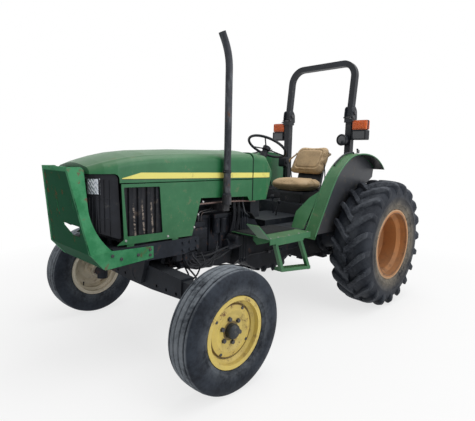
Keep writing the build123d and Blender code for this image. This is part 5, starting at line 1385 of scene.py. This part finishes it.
class TRACTOR_OT_lamps(Operator):
    """Lamp faces: fluted amber lenses, the work lamps' glass, the square headlights and the round lamp."""

    bl_idname = "tractor.lamps"
    bl_label = "Lamps"

    def execute(self, context):
        lenses, rims, glass, work_rims = [], [], [], []
        (x0, _, low), (x1, outer, high) = extent("amber_lamps")
        (_, _, work_low), (work_x, work_outer, work_high) = extent("work_lamps")
        mid = (x0 + x1) / 2
        for _, side in SIDES:
            y0, y1 = sorted((outer * side, (outer - LAMP_WIDTH) * side))
            for x, out in ((x1, 1), (x0, -1)):
                a, b = sorted((x - 2 * out, x + 5 * out))
                lenses.append(slab(a, b, y0 + 9, y1 - 9, low + 9, high - 9, 8, 2, 0))
                a, b = sorted((x + 4 * out, x + 7 * out))
                lenses.append(repeated(slab(a, b, -2.4, 2.4, low + 14, high - 14, 2, 1, 0),
                                       across_rows(np.linspace(y0 + 18, y1 - 18, 13))))
            rims.append(slab(mid - 13, mid + 13, y0 - 3, y1 + 3, low - 3, high + 3, 12, 3, 0))
            y0, y1 = sorted((work_outer * side, (work_outer - LAMP_WIDTH) * side))
            corners = [(y0, work_low), (y1, work_low), (y1, work_high), (y0, work_high)]
            outline = rounded_outline(corners, 10)
            work_rims.append(frame_ring(outline, inset(outline, 11), work_x - 3, work_x + 7))
            glass.append(slab(work_x - 2, work_x + 2.5, y0 + 10, y1 - 10, work_low + 10, work_high - 10,
                              6, 1, 0))
        build("amber_lenses", lenses, "amber_lens")
        build("amber_lamp_bands", rims, "black_plastic")
        build("work_lamp_rims", work_rims, "black_plastic")
        build("work_lamp_glass", glass, "dark_glass")
        self.headlights()
        self.grille_ribs()
        self.round_lamp()
        return {"FINISHED"}

    def headlights(self):
        """Clear faceted lens wrapped round each corner of the nose, in a thin bezel.

        Rays towards a point inside the nose find its skin for a grid of angles and heights. The
        lens stands 2.5 mm off it, and the facets of its face rise by up to 4 mm in a zigzag.
        """
        low, high = extent("headlights")
        lenses, bezels = [], []
        for _, side in SIDES:
            skin = nose_skin(side)
            turns = np.radians(np.linspace(36, 71, 22))
            heights = np.linspace(low[2] + 6, high[2] - 4, 15)
            flat = np.array([[skin(a, h, 0.0) for h in heights] for a in turns])
            smooth = flat.copy()
            for _ in range(3):
                smooth[1:-1] = (smooth[:-2] + smooth[2:] + smooth[1:-1] * 2) / 4
            out = np.stack([np.cos(turns), np.sin(turns) * side, 0 * turns], 1)[:, None]
            rows, columns = np.arange(len(turns))[:, None], np.arange(len(heights))[None]
            zigzag = np.abs((rows + columns) % 4 - 2) + np.abs((rows - 2 * columns) % 5 - 2) * 0.6
            face = smooth + out * (2.5 + zigzag[..., None] * 1.3)
            lenses.append(closed_shell(face, smooth - out * 4))
            b, a = np.linspace(0, 1, 22), np.linspace(0, 1, 16)
            around = np.concatenate([
                np.stack([0 * b, b], 1), np.stack([a, 0 * a + 1], 1)[1:],
                np.stack([0 * b + 1, b[::-1]], 1)[1:], np.stack([a[::-1], 0 * a], 1)[1:-1]])
            line = np.array([skin(turns[0] + (turns[-1] - turns[0]) * (b * 1.06 - 0.03),
                                  low[2] + 4 + (high[2] - low[2] - 6) * (a * 1.04 - 0.02), 3.0)
                             for a, b in around])
            bezels.append(looped(line, lambda at, ahead: np.cross(ahead, at - at.mean(0)), 3.4))
        build("headlight_lenses", lenses, "lamp_glass", sharp=20)
        build("headlight_bezels", bezels, "black_plastic", sharp=60)

    def grille_ribs(self):
        """Ribs of the screen wrapped round each corner of the nose, laid on the skin 1.5 mm proud."""
        lamp_foot = extent("headlights")[0][2]
        (_, _, foot), (_, _, top) = extent("grille")
        ribs = []
        for _, side in SIDES:
            skin = nose_skin(side)
            for degrees in (38, 47, 56, 65, 74, 85, 97):
                start = foot + (70 if degrees < 50 else 44 if degrees < 70 else 24)
                end = lamp_foot - 16 if degrees < 74 else top - 34
                heights = np.linspace(start, end, 14)
                line = np.array([skin(math.radians(degrees), height, 1.5) for height in heights])
                ribs.append(swept(line, bar_section(5, 3, 2.5, 2)))
            for height in (foot + 130, lamp_foot - 26):
                line = np.array([skin(math.radians(d), height, 1.0) for d in np.linspace(36, 99, 30)])
                ribs.append(swept(line, circle(3.0, 8)))
        build("grille_ribs", ribs, "black_plastic", sharp=50)

    def round_lamp(self):
        """Rim, domed glass and cooling ribs of the round lamp."""
        front = (extent("round_lamp")[1][0], *middle("round_lamp")[1:])
        rim = [(45, -6), (56, -6), (58, -2), (58, 5), (54, 9), (45, 9)]
        build("round_lamp_rim", [turned(rim, front, 40, 0)], "black_paint")
        dome = [(0, -2), (46, -2), (46, 2), (36, 7), (20, 10), (0, 11)]
        build("round_lamp_glass", [turned(dome, front, 40, 0)], "dark_glass")


def closed_shell(face, back):
    """Two matching grids of points joined round their rims into a closed plate."""
    rows, columns = face.shape[:2]
    grid = np.stack([face, back]).reshape(-1, 3)
    quads = grid_faces(rows, columns, False, False)
    count = rows * columns
    index = np.arange(count).reshape(rows, columns)
    rim = np.concatenate([index[0], index[1:, -1], index[-1, -2::-1], index[-2:0:-1, 0]])
    wall = np.stack([rim, np.roll(rim, -1), np.roll(rim, -1) + count, rim + count], 1)
    return grid, [np.concatenate([quads, quads + count, wall])]


def frame_ring(outline, hole, low, high):
    """A flat frame between an outline and the hole in it, with walls all round, seen along X."""
    loops = ((outline, low), (outline, high), (hole, high), (hole, low))
    grid = np.stack([np.insert(line, 0, level, axis=1) for line, level in loops])
    return grid.reshape(-1, 3), grid_faces(4, len(outline), True, True)


# ---- body trim ------------------------------------------------------------------------------
# how far out the roll bar's posts stand, and how high their hinges are
POST, HINGE_Z = 390.0, 1868.0


class TRACTOR_OT_body_trim(Operator):
    """Bolts, seals, the fenders' edges, rails and sheets, the roll bar's hinges and the fuel cap."""

    bl_idname = "tractor.body_trim"
    bl_label = "Body trim"

    def execute(self, context):
        self.panels()
        self.fenders()
        self.seals()
        self.roll_bar_hinges()
        cap = [(0, 0), (34, 0), (36, 4), (36, 20), (32, 25), (12, 27), (0, 27)]
        build("fuel_cap", [turned(cap, (1262, -150, 1440), 36, 2)], "black_plastic")
        return {"FINISHED"}

    def panels(self):
        """Bolts of the side panels, the guard, the steps and the roll bar's feet."""
        half = extent("hood")[1][1]
        heads, guard_heads = [], []
        for _, side in SIDES:
            spots = ((1868, 1080), (1914, 990), (1950, 900), (2500, 870), (2180, 862))
            heads.append(hex_heads([(x, half * side, z) for x, z in spots], 5, 13, 1, side))
            spots = ((2330, 756), (2330, 792), (2420, 770), (2540, 762), (2600, 790))
            guard_heads.append(hex_heads([(x, 310 * side, z) for x, z in spots], 8, 18, 1, side))
            spots = [(x, 626 * side, FLOOR) for x in (1010, 1130, 1260, 1390, 1480)]
            heads.append(hex_heads(spots, 4, 13, 2, 1.0))
            spots = [(32 + dx, (POST + dy) * side, 762) for dx in (-58, 58) for dy in (-44, 44)]
            heads.append(hex_heads(spots, 14, 26, 2, 1.0))
        build("panel_bolts", heads, "bare_steel")
        build("guard_bolts", guard_heads, "dark_steel")

    def fenders(self):
        """Rolled edges, inner grab rails, pins and the sheets down to the deck; the clamps of the stack."""
        black, rails, rolls, aprons = [], [], [], []
        for _, side in SIDES:
            arch = fender_line(side)
            for y in (545.5, 656.5):
                rolls.append(swept(np.insert(arch[:, [0, 2]], 1, y * side, axis=1), circle(6.0, 10)))
            t = np.arctan2(arch[:, 2] - TYRE_RADIUS, arch[:, 0])
            held = arch[(t > math.radians(52)) & (t < math.radians(76))]
            spoke = unit((held - (0, 0, TYRE_RADIUS)) * (1, 0, 1))
            line = np.concatenate([held[:1] - spoke[:1] * 4, held + spoke * 15, held[-1:] - spoke[-1:] * 4])
            line[:, 1] = 564 * side
            rails.append(swept(rounded_path(line, 9, 4), circle(7.5, 12)))
            # sheet between the fender's front and the deck
            aprons.append(sheet([(948, 538, FLOOR), (774, 538, 1056), (736, 538, 1124)],
                                [(942, 404, FLOOR), (884, 404, 942), (800, 484, 1068)], side))
            black.append(drum((150, 556 * side, 1466), 46, 7, 2, 3, 14, ((7, 30), (10, 33))))
            black.append(drum((120, 556 * side, 1466), 34, 6, 2, 3, 14))
        stack_y = extent("hood")[1][1] + 40
        for z in (1128, 1300):
            black.append(turned([(27.4, -12), (31, -12), (31, 12), (27.4, 12)], (1668.0, stack_y, z), 32, 2))
            black.append(hex_heads([(1698.0, stack_y, z)], 10, 14, 0, 1.0))
        build("fender_edges", rolls, "green_paint", sharp=60)
        build("fender_aprons", aprons, "green_paint", sharp=60)
        build("fender_rails", rails, "black_paint", sharp=50)
        build("fender_pins", black, "black_paint", sharp=50)

    def seals(self):
        """Narrow rubber strips down the joint between hood and cowl."""
        half = extent("hood")[1][1]
        strips = [slab(1337, 1345, *sorted(((half - 8) * side, (half - 1.2) * side)), 1064, 1400, 3, 1, 1)
                  for _, side in SIDES]
        build("cowl_seals", strips, "rubber_mat", 50)

    def roll_bar_hinges(self):
        """The roll bar's hinges: pivot bolts, hook plates, rubber stops and locking pins with their rings."""
        pins, plates = [], []
        hook = rounded_outline(
            [(-30, 1800), (72, 1800), (86, 1838), (78, 1912), (58, 1926), (6, 1926), (-22, 1888)], 12)
        t = np.linspace(0, 1.5 * np.pi, 20)
        for _, side in SIDES:
            y = POST * side
            for out in (1, -1):
                pins.append(hex_heads([(32, y + 41 * side * out, HINGE_Z)], 17, 36, 1, side * out))
                plates.append(prism(hook, *sorted((y + 33.0 * out, y + 41.5 * out)), 2, 1))
            pins.append(pipe([(66, y - 56, 1822), (66, y + 56, 1822), (66, y + 62 * side, 1800)], 8, 5, 12))
            ring = np.stack([66 + 0 * t, y + 62 * side + 15 * np.cos(t) * side, 1796 + 15 * np.sin(t)], 1)
            pins.append(swept(ring, circle(2.4, 8)))
            plates.append(slab(-36, -4, y - 26, y + 26, 1776, 1800, 8, 3, 2))
        build("roll_bar_hinge_plates", plates, "black_paint", sharp=38)
        build("roll_bar_pins", pins, "dark_steel", 40)


def fender_line(side):
    """Top line of a fender's strip from its foot to its tail, found by rays towards the axle."""
    node = frame["nodes"]["left_fender" if side > 0 else "right_fender"]
    tree = BVHTree.FromObject(node, bpy.context.evaluated_depsgraph_get())
    centre = Vector((AXLE_X, 0.6 * side, TYRE_RADIUS * MM))
    points = []
    for angle in np.radians(np.linspace(9, 106, 60)):
        way = Vector((math.cos(angle), 0, math.sin(angle)))
        hit = tree.ray_cast(centre + way * 1.5, -way)[0]
        if hit is not None:
            points.append(hit)
    return to_maker(points)


def sheet(outer, inner, side):
    """A thin plate, 3 mm, between two lines of matching points, mirrored to a side."""
    face = np.stack([np.array(outer, float), np.array(inner, float)], 1) * (1, side, 1)
    return closed_shell(face, face - (3, 0, 0))


class TRACTOR_OT_hitch_dressing(Operator):
    """Top link, drawbar pin, power take-off guard and oil couplers."""

    bl_idname = "tractor.hitch_dressing"
    bl_label = "Hitch dressing"

    def execute(self, context):
        x, z = extent("top_link_bracket")[0][0] + 26, middle("top_link_bracket")[2]
        steel = [pipe([(x, 0, z + 6), (x - 70, 0, z - 50), (x - 120, 0, z - 90)], 13, 10, 16),
                 pipe([(x - 70, 0, z - 50), (x - 190, 0, z - 146)], 19, 10, 18)]
        (pto_rear, _, _), (pto_front, _, _) = extent("pto_shaft")
        arch = rounded_path([(-120, 470), (-120, 640), (-70, 664), (70, 664), (120, 640), (120, 470)], 30, 6)
        outline = np.concatenate([arch, inset_arch(arch, 6.0)[::-1]])
        dark = [prism(outline, pto_rear - 12, pto_front - 60, 1.5, 0)]
        for _, side in SIDES:
            dark.append(slab(-262, -232, *sorted((60 * side, 104 * side)), 870, 920, 6, 3, 0))
            steel += [drum((-262, y * side, 895), -34, 11, 0, 3, 20, ((11, -12), (14, -14)))
                      for y in (70, 94)]
        build("hitch_steel", steel, "dark_steel")
        build("pto_guard_and_blocks", dark, "black_paint")
        pin = [(0, -58), (12, -54), (15.8, -46), (15.8, 26), (27, 28), (27, 38), (10, 42), (0, 42)]
        build("drawbar_pin", [turned(pin, (-705, 0, 346), 28, 2)], "bare_steel")
        return {"FINISHED"}


def inset_arch(line, amount):
    """An open line moved towards the inside of its bend."""
    ahead = unit(np.gradient(line, axis=0))
    return line + np.stack([ahead[:, 1], -ahead[:, 0]], 1) * amount


# ---- stage ----------------------------------------------------------------------------------
# place of the camera in metres, where it stands round the tractor, how high and how far rolled, in degrees,
# and its lens and sensor in millimetres
CAMERA_PLACE = (2.8588, 2.6038, 1.4270)
CAMERA_ANGLES = (135.10, 7.70, 1.31)
CAMERA_LENS, CAMERA_SENSOR = 31.246, 36.0
LAMP_TARGET = (0, 0, 0.8)
FLOOR_HALF = 40.0


def camera_turn(azimuth, elevation, roll):
    """Rotation whose -Z looks along the view, from angles in degrees."""
    a, e, r = (math.radians(v) for v in (azimuth, elevation, roll))
    back = Vector((math.sin(a) * math.cos(e), -math.cos(a) * math.cos(e), math.sin(e)))
    right = Vector((0, 0, 1)).cross(back).normalized()
    up = back.cross(right)
    side = right * math.cos(r) + up * math.sin(r)
    top = up * math.cos(r) - right * math.sin(r)
    return Matrix((side, top, back)).transposed()


def area_lamp(name, place, size, power):
    """A soft white lamp that faces the tractor."""
    data = bpy.data.lights.new(name, "AREA")
    data.size = size
    data.energy = power
    lamp = linked(name, data)
    lamp.location = place
    lamp.rotation_euler = (Vector(LAMP_TARGET) - Vector(place)).to_track_quat("-Z", "Y").to_euler()


def seen_directly(tree):
    """1 for the camera, and for what mirrors and glass show, else 0."""
    path = tree.nodes.new("ShaderNodeLightPath").outputs
    camera, glossy, through = (Wire(path[f"Is {kind} Ray"]) for kind in ("Camera", "Glossy", "Transmission"))
    return maths("MAXIMUM", maths("MAXIMUM", camera, glossy), through)


def floor_finish():
    """Pale floor: diffuse grey that keeps the shadow, and plain white away from the tractor."""
    tree, shader = new_material("pale_floor")
    tree.nodes.remove(shader)
    diffuse = add(tree, "ShaderNodeBsdfDiffuse", {"Color": (0.8, 0.8, 0.8)}).outputs[0]
    glow = add(tree, "ShaderNodeEmission", {"Strength": 1.0}).outputs[0]
    away = add(tree, "ShaderNodeVectorMath", {0: coordinates(tree)}, operation="LENGTH").outputs["Value"]
    reach = Wire(away).mapped(1.3, 4.0, 0.72, 1.0)
    mix = add(tree, "ShaderNodeMixShader", {0: reach * seen_directly(tree), 1: Wire(diffuse), 2: Wire(glow)})
    tree.links.new(mix.outputs[0], tree.nodes["Material Output"].inputs["Surface"])
    return material("pale_floor")


class TRACTOR_OT_stage(Operator):
    """Set the floor, the lamps, the world and the camera."""

    bl_idname = "tractor.stage"
    bl_label = "Stage"

    def execute(self, context):
        scene = context.scene
        look = scene.tractor_look
        scene.view_settings.view_transform = "Standard"
        data = bpy.data.cameras.new("view_camera")
        data.lens = CAMERA_LENS
        data.sensor_width = CAMERA_SENSOR
        scene.camera = linked("view_camera", data)
        scene.camera.matrix_world = Matrix.Translation(CAMERA_PLACE) @ camera_turn(*CAMERA_ANGLES).to_4x4()
        area_lamp("sky_lamp", (-0.6, 1.5, 6.0), 5.0, look.sky_power)
        area_lamp("side_lamp", (-1.5, 6.0, 3.0), 4.0, look.side_power)
        world = bpy.data.worlds.new("studio")
        scene.world = world
        world.use_nodes = True
        back = world.node_tree.nodes["Background"].inputs
        connect(back["Color"], (1, 1, 1))
        connect(back["Strength"], seen_directly(world.node_tree).mapped(0.0, 1.0, 0.42, 1.0))
        mesh = bpy.data.meshes.new("floor")
        corners = [(x * FLOOR_HALF, y * FLOOR_HALF, 0) for x, y in ((-1, -1), (1, -1), (1, 1), (-1, 1))]
        mesh.from_pydata(corners, [], [(0, 1, 2, 3)])
        mesh.materials.append(floor_finish())
        floor = linked("floor", mesh)
        return {"FINISHED"}


# ---- what a user may change -----------------------------------------------------------------
def colour_property(name, description, value):
    """A colour that a user may change."""
    return FloatVectorProperty(name=name, description=description, default=value, subtype="COLOR",
                               min=0, max=1)


def number_property(name, description, value, unit="LENGTH", **limits):
    """A measure in metres, or a power in watts, that a user may change."""
    return FloatProperty(name=name, description=description, default=value, unit=unit, **limits)


class TractorLook(PropertyGroup):
    """Colours and lights of the tractor."""

    green: colour_property("Green", "Body paint where it is fresh", paint(12, 96, 54))
    faded_green: colour_property("Faded green", "Body paint that the sun has bleached", paint(40, 116, 74))
    stripe_colour: colour_property("Stripe", "Stripe along the hood", paint(236, 226, 120))
    front_rim: colour_property("Front rims", "Paint of the front wheels", paint(230, 206, 106))
    rear_rim: colour_property("Rear rims", "Faded paint of the rear wheels", paint(192, 128, 74))
    seat: colour_property("Seat", "Vinyl of the seat", paint(176, 148, 108))
    dust: colour_property("Dust", "Dust that settles on paint", paint(150, 138, 112))
    stripe_width: number_property("Stripe width", "Height of the stripe on the hood", 0.040,
                                  min=0.0, max=0.05)
    sky_power: number_property("Sky lamp", "Power of the lamp overhead", 230.0, "POWER", min=0.0)
    side_power: number_property("Side lamp", "Power of the lamp at the side", 135.0, "POWER", min=0.0)


class TractorSizes(PropertyGroup):
    """Sizes of what is built around the frame."""

    bars: IntProperty(name="Tread bars", description="Bars on each half of a rear tyre", default=20,
                      min=12, max=30)
    bar_top: number_property("Bar top", "Width of a tread bar at its top, round the tyre", 0.048)
    bar_root: number_property("Bar root", "Width of a tread bar at its root, round the tyre", 0.082)
    bar_sweep: number_property("Bar sweep", "How far a bar trails round the tyre by its shoulder", 0.175)


OPERATORS = (
    TRACTOR_OT_stage, TRACTOR_OT_finishes, TRACTOR_OT_rear_tyres, TRACTOR_OT_front_tyres,
    TRACTOR_OT_wheel_hardware, TRACTOR_OT_seat, TRACTOR_OT_engine_dressing, TRACTOR_OT_underside,
    TRACTOR_OT_hydraulics, TRACTOR_OT_operator_station, TRACTOR_OT_steering_wheel, TRACTOR_OT_lamps,
    TRACTOR_OT_body_trim, TRACTOR_OT_hitch_dressing,
)


class TRACTOR_PT_panel(Panel):
    """Lists the tractor's pieces in the sidebar, with their sizes and colours."""

    bl_idname = "TRACTOR_PT_panel"
    bl_label = "Farm Tractor"
    bl_space_type = "VIEW_3D"
    bl_region_type = "UI"
    bl_category = "Tractor"

    def draw(self, context):
        for group in (context.scene.tractor_look, context.scene.tractor_sizes):
            for name in group.__annotations__:
                self.layout.prop(group, name)
        for operator in OPERATORS:
            self.layout.operator(operator.bl_idname)


CLASSES = (TractorLook, TractorSizes, *OPERATORS, TRACTOR_PT_panel)


def register():
    """Register every class and hang the two property groups on the scene."""
    for cls in CLASSES:
        bpy.utils.register_class(cls)
    bpy.types.Scene.tractor_look = PointerProperty(type=TractorLook)
    bpy.types.Scene.tractor_sizes = PointerProperty(type=TractorSizes)


def unregister():
    """Take back what register did."""
    del bpy.types.Scene.tractor_sizes
    del bpy.types.Scene.tractor_look
    for cls in reversed(CLASSES):
        bpy.utils.unregister_class(cls)


def main():
    """Build everything in order."""
    register()
    bpy.ops.tractor.stage()
    bpy.ops.tractor.finishes()
    bpy.ops.tractor.rear_tyres()
    bpy.ops.tractor.front_tyres()
    bpy.ops.tractor.wheel_hardware()
    bpy.ops.tractor.seat()
    bpy.ops.tractor.engine_dressing()
    bpy.ops.tractor.underside()
    bpy.ops.tractor.hydraulics()
    bpy.ops.tractor.operator_station()
    bpy.ops.tractor.steering_wheel()
    bpy.ops.tractor.lamps()
    bpy.ops.tractor.body_trim()
    bpy.ops.tractor.hitch_dressing()


if __name__ == "__main__":
    main()
